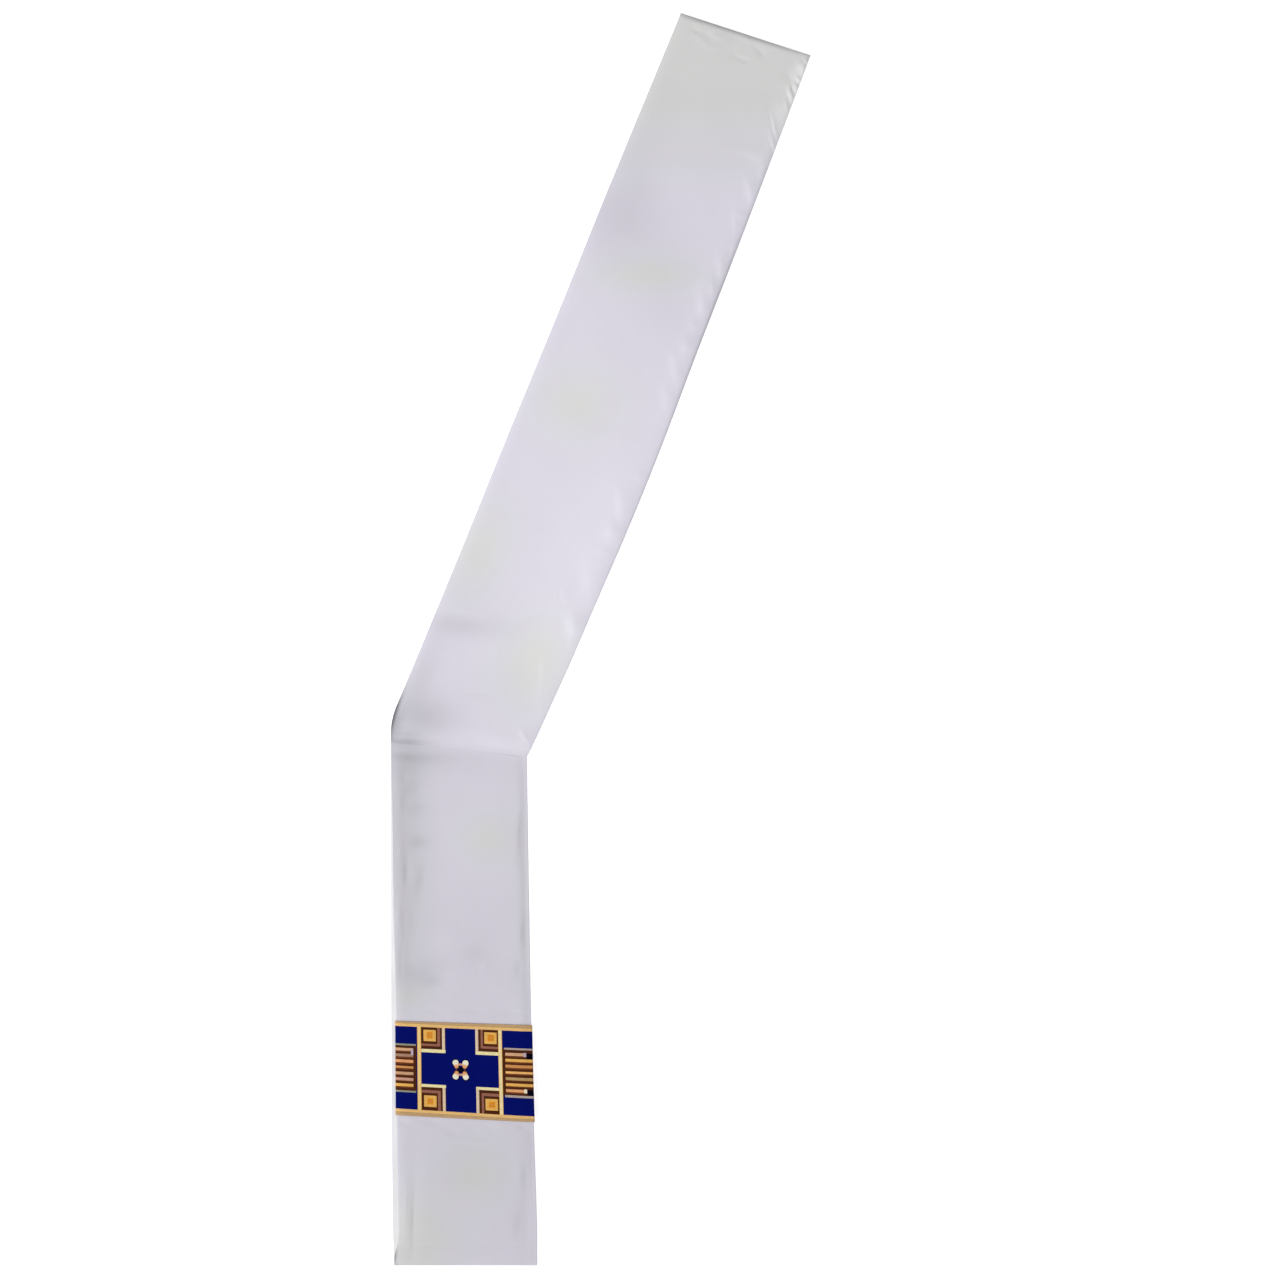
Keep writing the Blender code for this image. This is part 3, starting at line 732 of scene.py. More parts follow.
# object place with the pattern turned to the grain of a panel
def grainPlace(tree, grain):
    place = tree.nodes.new("ShaderNodeTexCoord")
    turn = tree.nodes.new("ShaderNodeMapping")
    turn.inputs["Rotation"].default_value = (0, 0, grain)
    tree.links.new(place.outputs["Object"], turn.inputs["Vector"])
    return turn.outputs["Vector"]


clothLook = {
    "cool": (0.817, 0.789, 0.888, 1),  # white with a little blue in it
    "plain": (0.792, 0.793, 0.784, 1),
    # dark grey that painted shade and soil mix into the cloth
    "soilAndShade": (0.12, 0.12, 0.13, 1),
    "used": 0.07,  # soil all over
    "roughness": 0.62,
    "sheen": 0.08,
    "pitch": 0.00052,  # of its threads
    "relief": 0.00009,
    "slub": 0.35,  # how much of the relief is thick and thin yarn
    "yarnRange": (0.3, 0.7),
    "yarnTone": 0.10,  # how much the thick and thin yarn shows
    "yarnShade": 0.7,
}


def toned(colour, tone):
    return tuple(channel * tone for channel in colour[:3]) + (1,)


# face cloth: plain weave, cool white with plainer places, with painted shade and light and some soil from its
# points
def makeCloth(name, grain):
    look = clothLook
    material, tree, shader = newMaterial(name, look["roughness"], look["sheen"])
    place = grainPlace(tree, grain)
    weave = useGroup(tree, plainWeave, Place=place, Pitch=look["pitch"], Slub=look["slub"])
    base = addMix(tree, readPoints(tree, "plain"), look["cool"], look["plain"])
    yarn = addRange(tree, weave["Slubs"], *look["yarnRange"], 0.0, look["yarnTone"])
    base = addMix(tree, yarn, base, toned(look["cool"], look["yarnShade"]))
    # painted shade and light, with soil: the points' share mixes the colour towards dark grey, or away from
    # it below the soil all over
    tree.links.new(addMix(tree, readPoints(tree, "soilAndShade"), base, look["soilAndShade"]), shader.inputs["Base Color"])
    addBump(tree, shader, weave["Height"], look["relief"])
    return material


liningLook = {
    "colour": (0.92, 0.92, 0.93, 1),
    "shade": (0.86, 0.86, 0.88, 1),  # in broad soft patches
    "patch": 0.05,
    "patchRange": (0.38, 0.62),
    "roughness": 0.42,
    "sheen": 0.03,
    "specular": 0.45,
    "pitch": 0.0003,
    "slub": 0.15,
    "relief": 0.00002,
}


# lining: finer and smoother than the face cloth
def makeLining():
    look = liningLook
    material, tree, shader = newMaterial("liningCloth", look["roughness"], look["sheen"], look["specular"])
    place = grainPlace(tree, 0)
    weave = useGroup(tree, plainWeave, Place=place, Pitch=look["pitch"], Slub=look["slub"])
    patches = addRange(tree, addNoise(tree, place, 1 / look["patch"], 1.0), *look["patchRange"])
    tree.links.new(addMix(tree, patches, look["colour"], look["shade"]), shader.inputs["Base Color"])
    addBump(tree, shader, weave["Height"], look["relief"])
    return material


upperGrain = stole["lean"]
clothUpper = makeCloth("faceClothUpper", upperGrain)
clothLower = makeCloth("faceClothLower", 0)
lining = makeLining()
print("stole: cloth materials ready")


# pieces

# grid lines: share of them, against the share of the panel that they cover
frontUpper = {
    "seamRow": 0,
    "length": upperLength,
    "columns": 78,
    "rows": 530,
    "columnShare": (0.0, 0.10, 0.50, 1.0),
    "across": (0.0, 0.055, 0.72, 1.0),
    "rowShare": (0.0, 0.125, 0.48, 1.0),
    "along": (0.0, 0.085, 0.58, 1.0),
}
frontLower = {
    "seamRow": 1,
    "length": stole["lowerDrop"],
    "columns": 76,
    "rows": 330,
    "columnShare": (0.0, 0.30, 0.75, 1.0),
    "across": (0.0, 0.16, 0.84, 1.0),
    "rowShare": (0.0, 0.16, 0.42, 0.60, 0.64, 0.80, 0.88, 1.0),
    "along": (0.0, 0.10, 0.44, 0.55, 0.70, 0.80, 0.93, 1.0),
}
# painted shade on the rolled inner edge of the upper panel
paintedInnerEdgeShade = {  # along the upper panel's inner edge
    "along": (0.00, 0.10, 0.22, 0.35, 0.48, 0.60, 0.68, 0.76, 0.83, 0.88, 1.00),
    "share": (0.02, 0.03, 0.05, 0.14, 0.26, 0.34, 0.36, 0.26, 0.14, 0.04, 0.02),
}
# painted shade, partly wear, along the shoulder fold, by share across the panel
foldWearAndShade = {"along": (0.00, 0.15, 0.40, 0.70, 1.00), "share": (0.30, 0.44, 0.48, 0.36, 0.28)}
# reaches and strengths of the painted shade, partly wear, on the edges; lowerInnerShare is below 0 and paints
# the lower panel's inner rim lighter
soilAndShadeReach = {
    "fold": 0.0026,
    "corner": (0.026, 0.019),  # how far above the hip seam, and over how much
    "corners": 0.9,
    "inner": 0.0020,
    "lowerInner": 0.0025,
    "lowerInnerShare": -0.04,
    "most": 0.95,
}


# painted shade: the lower panel, and the upper one just above the seam, painted darker, easing in across the
# hip seam
def hipShadeAt(aboveSeam, along):
    share = np.clip((stole["hipShadeReach"] - aboveSeam) / (2 * stole["hipShadeReach"]), 0, 1)
    return share ** 2 * (3 - 2 * share) * smoothColumn(shadeBelowHip, "share", along)


# painted shade, partly wear, on the folded edges: the shoulder fold, the outer hip corner, the rolled inner
# edge
def upperSoilAndShade(across, along):
    place, width = upperPlace(across, along)
    fromFold, fromSeam = (1 - along) * upperLength, along * upperLength
    cornerUp, cornerReach = soilAndShadeReach["corner"]
    fold = faded(fromFold, soilAndShadeReach["fold"]) * smoothColumn(foldWearAndShade, "share", across)
    corner = faded(across * width, soilAndShadeReach["fold"]) * faded(fromSeam - cornerUp, cornerReach)
    inner = faded((1 - across) * width, soilAndShadeReach["inner"]) * smoothColumn(paintedInnerEdgeShade, "share", along)
    soilAndShade = clothLook["used"] + fold + soilAndShadeReach["corners"] * corner + inner
    soilAndShade = soilAndShade + gaussianHeight(place, soilAndShadeMarks) / mm + hipShadeAt(fromSeam, 0 * along)
    return np.clip(soilAndShade, 0, soilAndShadeReach["most"])


# painted shade and light on the lower panel, over the soil all over: marks, a lighter inner rim and the
# darker lower panel
def lowerSoilAndShade(across, along):
    place, width = lowerPlace(across, along)
    inner = faded((1 - across) * width, soilAndShadeReach["lowerInner"]) * soilAndShadeReach["lowerInnerShare"]
    soilAndShade = clothLook["used"] + inner + gaussianHeight(place, soilAndShadeMarks) / mm
    return np.clip(soilAndShade + hipShadeAt(-along * stole["lowerDrop"], along), 0, soilAndShadeReach["most"])


def plainAt(place):
    neck = np.clip((place[:, 1] - plainNeck[0]) / (plainNeck[1] - plainNeck[0]), 0, 1)
    return np.clip(neck + gaussianHeight(place, plainMarks) / mm, 0, 1)


def makeFront(name, panel, surface, soilAndShade, place, cloth):
    start = stole["seamGap"] / 2 / panel["length"]

    def shape(column, row):
        row = 1 - row if panel["seamRow"] else row
        along = start + (1 - start) * np.interp(row, panel["rowShare"], panel["along"])
        return np.interp(column, panel["columnShare"], panel["across"]), along

    piece, shares = addSheet(name, panel["columns"], panel["rows"], lambda *share: surface(*shape(*share)))
    spots = shape(*shares[:, :2].T)
    # painted shade and light, with soil, as a share at each point
    paintPoints(piece, "soilAndShade", soilAndShade(*spots))
    paintPoints(piece, "plain", plainAt(place(*spots)[0]))
    thicken(piece, shares, stole["wall"], -1, stole["edgeRound"], seamRow=panel["seamRow"])
    piece.data.materials.append(cloth)
    print("made", name, len(piece.data.vertices))
    return piece


back = {"columns": 46, "upperRows": 240, "lowerRows": 160, "crowd": 0.45}


# columns crowd a little towards the edges
def crowded(share):
    return share - back["crowd"] * np.sin(2 * math.pi * share) / (2 * math.pi)


# the back half lies flat on the table, face down, so its top side is lining
def makeBack(name, place, rows, length, grainCloth, upwards):
    start = stole["seamGap"] / 2 / length

    def spots(column, row):
        along = start + (1 - start) * row if upwards else 1 - (1 - start) * row
        return place(crowded(column), along)[0]

    def surface(*share):
        return np.pad(spots(*share) - middle, ((0, 0), (0, 1)))

    piece, shares = addSheet(name, back["columns"], rows, surface)
    paintPoints(piece, "soilAndShade", np.full(len(shares), clothLook["used"]))
    paintPoints(piece, "plain", plainAt(spots(*shares[:, :2].T)))
    thicken(piece, shares, stole["wall"], 1, stole["edgeRound"], seamRow=0 if upwards else 1)
    for material in (grainCloth, lining):
        piece.data.materials.append(material)
    for face in piece.data.polygons:  # its top faces, inside the rounded rims
        face.material_index = int(face.center.z > stole["wall"] * 0.99)
    return piece


def backLowerPlace(across, along):
    return lowerPlace(across, along, along, backOuterEdge)


frontUpperCloth = makeFront("frontUpperCloth", frontUpper, frontUpperTop, upperSoilAndShade, upperPlace, clothUpper)
frontLowerCloth = makeFront("frontLowerCloth", frontLower, frontLowerTop, lowerSoilAndShade, lowerPlace, clothLower)
backUpperCloth = makeBack("backUpperCloth", upperPlace, back["upperRows"], upperLength, clothUpper, True)
backLowerCloth = makeBack(
    "backLowerCloth", backLowerPlace, back["lowerRows"], stole["lowerDrop"], clothLower, False)
print("made the back half")

# the woven band. Its chart is in millimetres: x from its outer edge, y down from its top
chart = {
    "width": 128.0,
    "depth": 88.8,
    "slant": 1.2,  # how much lower the pattern lies at the inner edge
    "thread": 0.5,  # one pattern thread
    "float": 1.5,  # how far it runs between bindings
    "border": 4.5,  # gold along both edges, up to here and from there
    "borderFoot": 82.3,
    "crossMiddle": (60.6, 42.9),
    "armX": 14.2,  # half width of the cross's upright arm
    "armY": 15.1,  # half width of its level arm
    "cellHalf": (37.1, 39.5),
    "bars": ((21.65, 1.8, "barGold"), (98.2, 1.85, "barCream")),  # upright bars: middle, half width, thread
    "stripeFirst": 26.2,
    "stripeStep": 5.6,
    "stripeHalf": 1.25,
}
threads = {
    "navy": (0.0004, 0.0045, 0.150, 1),
    "gold": (0.93, 0.52, 0.125, 1),
    "borderGold": (0.94, 0.59, 0.225, 1),
    "borderDull": (0.62, 0.40, 0.21, 1),
    "barGold": (1.0, 0.72, 0.29, 1),
    "barCream": (1.0, 0.82, 0.45, 1),
    "paleGold": (0.98, 0.86, 0.47, 1),
    "blush": (0.88, 0.68, 0.47, 1),
    "cream": (1.0, 0.96, 0.78, 1),
    "orange": (0.84, 0.31, 0.022, 1),
    "amber": (0.74, 0.335, 0.11, 1),
    "straw": (1.0, 0.55, 0.18, 1),
    "peach": (0.90, 0.42, 0.185, 1),
    "sand": (0.78, 0.46, 0.265, 1),
    "fawn": (0.69, 0.40, 0.23, 1),
    "taupe": (0.45, 0.26, 0.17, 1),
    "tan": (0.56, 0.37, 0.156, 1),
    "rose": (0.66, 0.36, 0.26, 1),
    "mauve": (0.36, 0.15, 0.10, 1),
    "rust": (0.19, 0.055, 0.018, 1),
    "brown": (0.085, 0.022, 0.008, 1),
    "mist": (0.53, 0.43, 0.37, 1),
    "dullMist": (0.34, 0.35, 0.26, 1),
    "lilac": (0.62, 0.50, 0.62, 1),
    "ink": (0.0008, 0.0008, 0.008, 1),
}
beyond = 12.0  # the side cells run on over the panel's edges


# the threads of the stripes, from the top: in the outer side cell, then in the inner one
stripes = (
    ("sand", "sand"),
    ("taupe", "gold"),
    ("peach", "amber"),
    ("amber", "straw"),
    ("fawn", "tan"),
    ("rose", "gold"),
    ("gold", "peach"),
)


# a patch is (thread, x from, x to, y from, y to, raised); later ones lie over earlier ones
def sidePatches():
    first, step, half = chart["stripeFirst"], chart["stripeStep"], chart["stripeHalf"]
    left, right = -beyond, chart["width"] + beyond
    rows = [
        ("brown", left, 19.0, 21.9, 64.8, 0),
        ("brown", 100.1, right, 21.0, 64.5, 0),
        ("dullMist", left, 18.6, 21.0, 22.5, 1),
        ("dullMist", left, 18.6, 64.9, 66.4, 1),
        ("mist", 102.0, right, 20.3, 22.1, 1),
        ("mist", 102.0, right, 64.1, 66.0, 1),
        ("ink", 122.8, right, 25.0, 32.2, 0),  # notches at the inner end
        ("ink", 122.8, right, 58.6, 64.0, 0),
    ]
    last = len(stripes) - 1
    for index, colours in enumerate(stripes):
        middle = first + step * index
        end = 122.0 if index in (0, last) else right
        for x0, x1, thread in zip((left, 102.9), (16.0, end), colours):
            rows.append(("rust", x0, x1, middle + half, middle + half + 1.3, 0))
            rows.append((thread, x0, x1, middle - half, middle + half, 1))
    rows.append(("lilac", 14.0, 16.0, 25.5, 31.5, 1))
    for thread, middle in (("lilac", first), ("cream", first + step * last)):
        rows.append((thread, 120.0, 122.6, middle - half - 0.4, middle + half + 0.4, 1))
    return rows


def framePatches():
    left, right, depth = -beyond, chart["width"] + beyond, chart["depth"] + beyond
    border, foot = chart["border"], chart["borderFoot"]
    rows = []
    for middle, half, thread in chart["bars"]:
        rows.append(("gold", middle - half, middle + half, left, depth, 1))
        rows.append((thread, middle - half + 0.5, middle + half - 0.5, left, depth, 1))
    rows.append(("borderDull", left, right, left, border, 1))
    rows.append(("borderGold", left, right, border - 2.5, border, 1))
    rows.append(("tan", left, right, border - 3.1, border - 2.5, 0))
    rows.append(("borderDull", left, right, foot, depth, 1))
    rows.append(("borderGold", left, right, foot, foot + 2.8, 1))
    rows.append(("tan", left, right, foot + 2.8, foot + 3.4, 0))
    return rows


# one quarter of the cross cell; x and y are distances from its middle
def quarterPatches():
    armX, armY = chart["armX"], chart["armY"]
    endX, endY = chart["cellHalf"]
    return [
        ("brown", armX, endX, armY, endY, 0),
        ("blush", armX + 0.2, armX + 2.7, armY, endY, 1),
        ("paleGold", armX, endX, armY, armY + 2.7, 1),
        ("mauve", armX + 5.0, armX + 7.2, armY + 5.7, endY, 1),
        ("mauve", armX + 5.0, endX, armY + 5.7, armY + 7.9, 1),
        ("brown", armX + 7.2, endX, armY + 7.9, endY, 0),
        ("gold", armX + 8.9, armX + 20.3, armY + 10.5, armY + 21.0, 1),
        ("orange", armX + 11.7, armX + 17.5, armY + 12.8, armY + 18.7, 1),
        ("amber", armX + 13.6, armX + 15.6, armY + 14.8, armY + 16.8, 1),
    ]


flower = {
    "petalFrom": (3.9, 3.4),
    "petalTo": (4.7, 6.4),
    "petalStart": 2.0,  # radii at its two ends
    "petalEnd": 2.7,
    "petalBlend": (0.1, 0.75),  # it turns from peach to cream between these shares of its length
    "outline": 0.9,
    "bridge": (-3.6, 3.6, 3.7, 5.7),  # x from, x to, y from, y to
    "side": (3.4, 4.4, -2.2, 2.2),
    "eye": 2.6,
}


# distance outside a petal, negative inside
def petalDistance(x, y):
    start, end = np.array(flower["petalFrom"]), np.array(flower["petalTo"])
    line = end - start
    share = np.clip(((x - start[0]) * line[0] + (y - start[1]) * line[1]) / line.dot(line), 0, 1)
    radius = flower["petalStart"] + (flower["petalEnd"] - flower["petalStart"]) * share
    return np.hypot(x - start[0] - line[0] * share, y - start[1] - line[1] * share) - radius


# 1 where pattern threads lie on top, 0 on the ground
def patternRelief(x, y):
    raised = np.zeros(len(x))

    def lay(patches, px, py):
        for thread, x0, x1, y0, y1, lift in patches:
            raised[(px >= x0) & (px <= x1) & (py >= y0) & (py <= y1)] = lift

    foldedX, foldedY = abs(x - chart["crossMiddle"][0]), abs(y - chart["crossMiddle"][1])
    inCell = (foldedX < chart["cellHalf"][0]) & (foldedY < chart["cellHalf"][1])
    lay(sidePatches(), x, y)
    raised[inCell] = 0
    lay(quarterPatches(), foldedX, foldedY)
    raised[petalDistance(foldedX, foldedY) < 0] = 1
    lay(framePatches(), x, y)
    return raised


galloonLook = {
    "roughness": 0.6,
    "specular": 0.03,
    "metal": 0.15,  # of the raised threads
    "relief": 0.00012,
    "toneRun": 3.0,  # a thread keeps its depth of tone this far
    "darkest": 0.82,
    "ribs": 0.36,
    "satin": 0.22,
    "satinStep": 0.4,  # each thread is bound this much of a turn on from the last
}


def makeGalloonMaterial():
    look = galloonLook
    material, tree, shader = newMaterial("galloonWeave", look["roughness"], 0.0, look["specular"])

    def work(operation, *values, clamp=False):
        return addMath(tree, operation, *values, clamp=clamp)

    def lengthOf(x, y):
        return work("SQRT", work("ADD", work("MULTIPLY", x, x), work("MULTIPLY", y, y)))

    def inside(x, y, x0, x1, y0, y1):
        return useGroup(tree, patchMask, X=x, Y=y, MiddleX=(x0 + x1) / 2, HalfX=(x1 - x0) / 2,
                        MiddleY=(y0 + y1) / 2, HalfY=(y1 - y0) / 2)["Mask"]

    def lay(colour, metal, patches, x, y):
        for thread, *edges, lift in patches:
            mask = inside(x, y, *edges)
            colour = addMix(tree, mask, colour, threads[thread])
            metal = addMix(tree, mask, metal, (lift, lift, lift, 1))
        return colour, metal

    uv = tree.nodes.new("ShaderNodeUVMap")
    uv.uv_map = "bandPlace"
    place = splitPlace(tree, uv.outputs["UV"])
    x, y = (work("DIVIDE", place[axis], mm) for axis in (0, 1))  # chart millimetres
    pitch = chart["thread"]
    snapX, snapY = (work("ADD", work("SNAP", value, pitch), pitch / 2) for value in (x, y))
    foldX, foldY = (work("ABSOLUTE", work("SUBTRACT", value, centre))
                    for value, centre in zip((snapX, snapY), chart["crossMiddle"]))
    colour, metal = lay(threads["navy"], (0, 0, 0, 1), sidePatches(), snapX, snapY)
    endX, endY = chart["cellHalf"]
    cell = [("navy", -endX, endX, -endY, endY, 0)] + quarterPatches()
    colour, metal = lay(colour, metal, cell, foldX, foldY)

    # flower: a petal in each quarter, an outline of ink, a bridge between the petals and a dark eye
    start, end = Vector(flower["petalFrom"]), Vector(flower["petalTo"])
    line = end - start
    fromX, fromY = work("SUBTRACT", foldX, start.x), work("SUBTRACT", foldY, start.y)
    dot = work("MULTIPLY_ADD", fromX, line.x, work("MULTIPLY", fromY, line.y))
    share = work("DIVIDE", dot, line.dot(line), clamp=True)
    away = [work("SUBTRACT", value, work("MULTIPLY", share, step))
            for value, step in zip((fromX, fromY), line)]
    radius = work("MULTIPLY_ADD", share, flower["petalEnd"] - flower["petalStart"], flower["petalStart"])
    outside = work("SUBTRACT", lengthOf(*away), radius)
    colour = addMix(tree, work("LESS_THAN", outside, flower["outline"]), colour, threads["ink"])
    for part, thread in (("bridge", "rose"), ("side", "rust")):
        colour = addMix(tree, inside(foldX, foldY, *flower[part]), colour, threads[thread])
    paler = addRange(tree, share, *flower["petalBlend"])
    petalColour = addMix(tree, paler, threads["peach"], threads["cream"])
    petal = work("LESS_THAN", outside, 0.0)
    eye = work("LESS_THAN", lengthOf(foldX, foldY), flower["eye"])
    colour = addMix(tree, eye, addMix(tree, petal, colour, petalColour), threads["ink"])
    metal = addMix(tree, eye, addMix(tree, petal, metal, (1, 1, 1, 1)), (0, 0, 0, 1))
    colour, metal = lay(colour, metal, framePatches(), snapX, snapY)

    # each thread its own depth of tone; floats bound in a satin order show as fine level ribs
    tones = tree.nodes.new("ShaderNodeTexWhiteNoise")
    tones.noise_dimensions = "2D"
    tree.links.new(joinPlace(tree, work("SNAP", x, look["toneRun"]), snapY), tones.inputs["Vector"])
    tone = addRange(tree, tones.outputs["Value"], 0.0, 1.0, look["darkest"], 1.0)
    turn = 2 * math.pi / pitch
    ribs = work("MULTIPLY_ADD", work("SINE", work("MULTIPLY", y, turn)), look["ribs"], 0.5)
    floats = work("MULTIPLY", x, 2 * math.pi / chart["float"])
    bound = work("SINE", work("MULTIPLY_ADD", snapY, look["satinStep"] * turn, floats))
    height = work("MULTIPLY_ADD", bound, look["satin"], ribs)
    shine = work("MULTIPLY", addRange(tree, metal, 0.0, 1.0), look["metal"])
    tree.links.new(addMix(tree, tone, (0, 0, 0, 1), colour), shader.inputs["Base Color"])
    tree.links.new(shine, shader.inputs["Metallic"])
    addBump(tree, shader, height, look["relief"])
    return material


# shares of the lower panel's two edges at one of the band's edges, moved down by some metres
def bandShares(edge, down=0.0):
    inner = band[edge + "Inner"] + down - stole["hipSeamRise"]
    return (band[edge + "Outer"] + down) / stole["lowerDrop"], inner / innerLength


def makeGalloon():
    (topOuter, topInner), (footOuter, footInner) = bandShares("top"), bandShares("foot")
    panelColumns = round(chart["width"] * mm / band["columnStep"])
    turnedColumns = band["turnedColumns"]
    columns = panelColumns + 2 * turnedColumns
    rows = round(chart["depth"] * mm / band["rowStep"])

    def surface(column, row):
        down = 1 - row
        index = np.round(column * columns) - turnedColumns
        across = np.clip(index / panelColumns, 0, 1)
        top = frontLowerTop(
            across, topOuter + (footOuter - topOuter) * down, topInner + (footInner - topInner) * down)
        past = np.maximum(-index, index - panelColumns)  # columns beyond the panel's edge
        side = np.where(index < 0, -1, 1) * (past > 0)
        fromEnd = np.minimum(row, down) * chart["depth"] * mm
        slanted = down * chart["depth"] - across * chart["slant"]
        relief = patternRelief(across * chart["width"], slanted) * band["threadLift"]
        sewn = band["sewnDip"] * faded(fromEnd, band["sewnReach"])
        pressed = (stole["gap"] - band["heldGap"]) * faded(fromEnd, band["heldReach"])
        top[:, 2] += stole["gap"] - pressed + np.where(past > 0, 0, relief) - sewn
        top[:, 0] += side * band["sideGap"]
        turned = (0, band["shoulder"], band["turnDown"], stole["wall"])
        top[:, 2] -= np.choose(np.clip(past, 0, 3).astype(int), turned)
        return top

    piece, shares = addSheet("galloonBand", columns, rows, surface)
    layer = piece.data.uv_layers.active
    layer.name = "bandPlace"
    owners = np.empty(len(piece.data.loops), int)
    piece.data.loops.foreach_get("vertex_index", owners)
    x = (shares[:, 0] * columns - turnedColumns) / panelColumns
    y = (1 - shares[:, 1]) * chart["depth"] - x * chart["slant"]
    layer.data.foreach_set("uv", (np.column_stack((x * chart["width"], y)) * mm)[owners].ravel())
    thicken(piece, shares, band["wall"], 1, band["edgeRound"], 3)
    piece.data.materials.append(makeGalloonMaterial())
    return piece


galloonBand = makeGalloon()
print("made", galloonBand.name, len(galloonBand.data.vertices))

# sewing: one stitch is shaped, then copied along each row
stitch = {"segments": 6, "rings": 6, "sink": 0.35, "blunt": 0.25}


def modelStitch(sewing):
    length, thickness = sewing["length"], sewing["thickness"]
    deselectAll()
    bpy.ops.mesh.primitive_uv_sphere_add(segments=stitch["segments"], ring_count=stitch["rings"], radius=0.5)
    piece = bpy.context.object
    piece.rotation_euler = (0, math.pi / 2, 0)
    piece.scale = (thickness, thickness, length)
    bpy.ops.object.transform_apply(location=True, rotation=True, scale=True)
    for point in piece.data.vertices:  # blunt spindle, its ends drawn down into the cloth
        share = 2 * point.co.x / length
        point.co.y *= 1 + stitch["blunt"] * share ** 2
        point.co.z -= thickness * stitch["sink"] * share ** 2
    return piece


def sewRow(name, sewing, places, material):
    model = modelStitch(sewing)
    copies = []
    for place in places:
        copy = bpy.data.objects.new(name, model.data.copy())
        bpy.context.scene.collection.objects.link(copy)
        copy.data.transform(place)
        copies.append(copy)
    bpy.data.objects.remove(model)
    deselectAll()
    for copy in copies:
        copy.select_set(True)
    bpy.context.view_layer.objects.active = copies[0]
    bpy.ops.object.join()
    row = bpy.context.object
    row.name = row.data.name = name
    row.data.shade_smooth()
    row.data.materials.append(material)
    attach(row, "root")
    return row


threadTwist = {"lean": math.radians(35), "pitch": 0.0004, "relief": 0.00004}


def makeThread(name, colour, shade, roughness, metallic):
    material, tree, shader = newMaterial(name, roughness, 0.1, 0.4, metallic)
    place = grainPlace(tree, threadTwist["lean"])
    twist = addMath(tree, "MULTIPLY", splitPlace(tree, place)[0], 2 * math.pi / threadTwist["pitch"])
    ply = addMath(tree, "SINE", twist)
    tree.links.new(addMix(tree, addRange(tree, ply, -1, 1), colour, shade), shader.inputs["Base Color"])
    addBump(tree, shader, ply, threadTwist["relief"])
    return material


goldThread = makeThread("goldThread", threads["borderGold"], threads["borderDull"], 0.45, 0.2)
whiteThread = makeThread("whiteThread", clothLook["cool"], toned(clothLook["cool"], 0.8), 0.5, 0.0)


# where a stitch lies: on a point, turned in plan to the next one
def lyingAt(point, nextPoint, lift):
    turn = math.atan2(nextPoint[1] - point[1], nextPoint[0] - point[0])
    rise = math.atan2(nextPoint[2] - point[2], math.hypot(nextPoint[0] - point[0], nextPoint[1] - point[1]))
    place = Matrix.Translation((point[0], point[1], point[2] + lift))
    return place @ Matrix.Rotation(turn, 4, "Z") @ Matrix.Rotation(-rise, 4, "Y")


bandSewing = {"pitch": 0.0031, "length": 0.0025, "thickness": 0.00042, "inset": 0.0011, "turnStep": 0.0015}


def sewBand():
    count = round(chart["width"] * mm / bandSewing["pitch"])
    across = (np.arange(count) + 0.5) / count
    step = bandSewing["turnStep"] / (chart["width"] * mm)
    lift = band["heldGap"] + band["wall"] + band["threadLift"]
    places = []
    for end, side in (("top", 1), ("foot", -1)):
        outer, inner = (0 * across + share for share in bandShares(end, side * bandSewing["inset"]))
        rows = [frontLowerTop(across + offset, outer, inner) for offset in (0, step)]
        places += [lyingAt(point, nextPoint, lift) for point, nextPoint in zip(*rows)]
    return sewRow("bandStitches", bandSewing, places, goldThread)


hemSewing = {"pitch": 0.0060, "length": 0.0011, "thickness": 0.00034, "turnStep": 0.004, "lift": 0.00002}


def sewHem():
    count = round(stole["hemWidth"] / hemSewing["pitch"]) - 1
    across = (np.arange(count) + 0.75) / (count + 0.5)
    along = 1 - hem["inset"] / stole["lowerDrop"] + 0 * across
    rows = [frontLowerTop(across + offset, along) for offset in (0, hemSewing["turnStep"])]
    places = [lyingAt(point, nextPoint, hemSewing["lift"]) for point, nextPoint in zip(*rows)]
    return sewRow("hemStitches", hemSewing, places, whiteThread)


shoulderSewing = {"pitch": 0.0042, "length": 0.0030, "thickness": 0.00040, "inset": 0.00034, "slant": 0.25}


# slip stitches draw the two folded edges together at the shoulder
def sewShoulder():
    count = round(stole["shoulderWidth"] / shoulderSewing["pitch"])
    across = (np.arange(count) + 0.5) / count
    edge, _ = upperPlace(across, 0 * across + 1)
    out = np.array((math.sin(stole["shoulderTilt"]), math.cos(stole["shoulderTilt"])))
    height = stole["wall"] + stole["gap"] / 2
    places = []
    for x, y in edge - middle - out * shoulderSewing["inset"]:
        place = Matrix.Translation((x, y, height))
        for turn, axis in ((-stole["shoulderTilt"], "Z"), (math.pi / 2, "X"), (math.pi / 2, "Z"),
                           (shoulderSewing["slant"], "Z")):
            place = place @ Matrix.Rotation(turn, 4, axis)
        places.append(place)
    return sewRow("shoulderStitches", shoulderSewing, places, whiteThread)


bandStitches, hemStitches, shoulderStitches = sewBand(), sewHem(), sewShoulder()
print("sewn")

layCloth(frontUpperCloth, outlineOf(upperPlace),
         "front_upper_panel")
layCloth(frontLowerCloth, outlineOf(lowerPlace),
         "front_lower_panel")
layCloth(backUpperCloth, outlineOf(upperPlace), "back_upper_panel")
layCloth(backLowerCloth, outlineOf(backLowerPlace), "back_lower_panel")

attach(galloonBand, "root")
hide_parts("galloon_band")

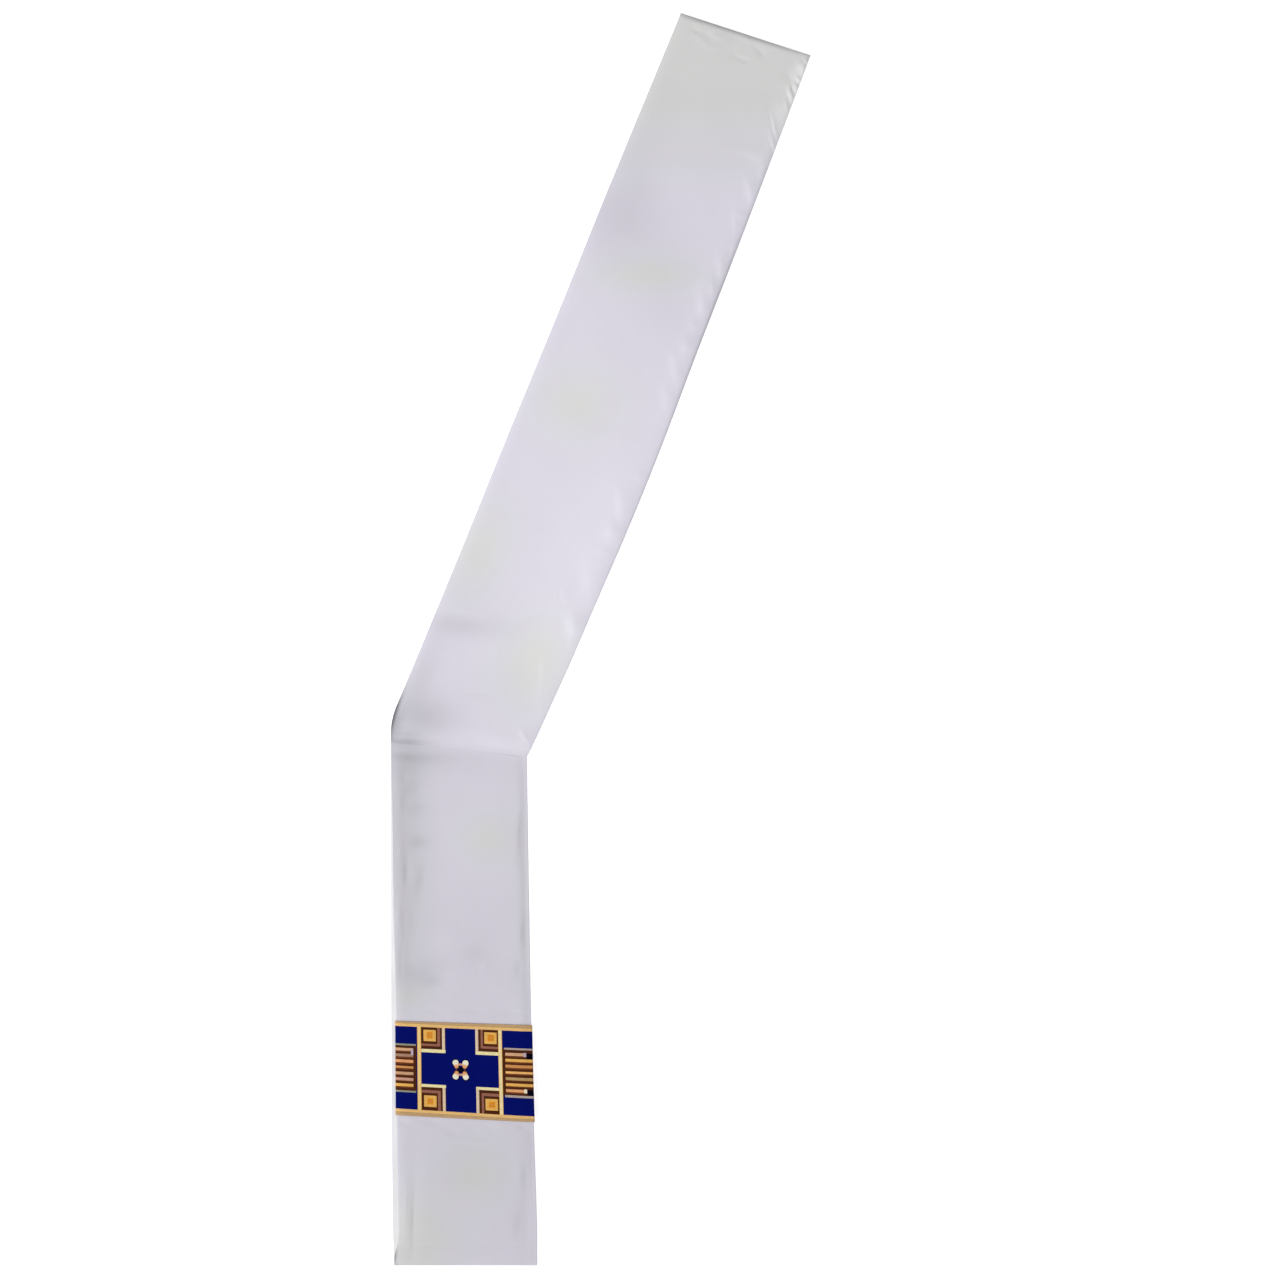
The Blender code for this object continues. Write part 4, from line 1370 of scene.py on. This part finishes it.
# studio: white floor, soft light from the lower left, camera straight above
studio = {
    "floorSize": 12.0,
    "floorDrop": 0.0002,
    "floorGlow": 0.45,
    "world": 0.34,
    "keyAt": (-3.2, -2.0, 2.6),
    "keyTo": (-0.02, 0.02, 0.0),
    "keySize": 2.0,
    "keyPower": 110.0,
    "overAt": (0.02, 0.22, 1.3),
    "overSize": 0.5,
    "overPower": 6.0,
    "cameraAt": (0.0364, -0.0005, 3.2),
    "lens": 97.2,
}


def makeFloor():
    deselectAll()
    bpy.ops.mesh.primitive_plane_add(size=studio["floorSize"], location=(0, 0, -studio["floorDrop"]))
    floor = bpy.context.object
    floor.name = "floor"
    bpy.ops.object.transform_apply(location=True)
    material, _, shader = newMaterial("floorWhite", 0.9, 0.0, 0.1)
    for label, value in (("Base Color", (0.95, 0.95, 0.95, 1)), ("Emission Color", (1, 1, 1, 1)),
                         ("Emission Strength", studio["floorGlow"])):
        shader.inputs[label].default_value = value
    floor.data.materials.append(material)


def addSoftbox(name, place, target, size, power):
    light = bpy.data.lights.new(name, "AREA")
    light.shape = "DISK"
    light.size = size
    light.energy = power
    lamp = bpy.data.objects.new(name, light)
    bpy.context.scene.collection.objects.link(lamp)
    lamp.location = place
    lamp.rotation_euler = (Vector(target) - Vector(place)).to_track_quat("-Z", "Y").to_euler()


def makeStudio():
    makeFloor()
    world = bpy.data.worlds.new("softRoom")
    world.use_nodes = True
    sky = world.node_tree.nodes["Background"].inputs
    sky["Color"].default_value, sky["Strength"].default_value = (1, 1, 1, 1), studio["world"]
    bpy.context.scene.world = world
    addSoftbox("keyLight", studio["keyAt"], studio["keyTo"], studio["keySize"], studio["keyPower"])
    over = studio["overAt"]
    addSoftbox("overLight", over, (over[0], over[1], 0), studio["overSize"], studio["overPower"])
    camera = bpy.data.objects.new("camera", bpy.data.cameras.new("camera"))
    bpy.context.scene.collection.objects.link(camera)
    camera.location = studio["cameraAt"]
    camera.data.lens = studio["lens"]
    camera.data.sensor_width = 36.0
    camera.data.clip_end = 50.0
    bpy.context.scene.camera = camera
    bpy.context.scene.view_settings.view_transform = "Standard"


makeStudio()
print("studio ready")
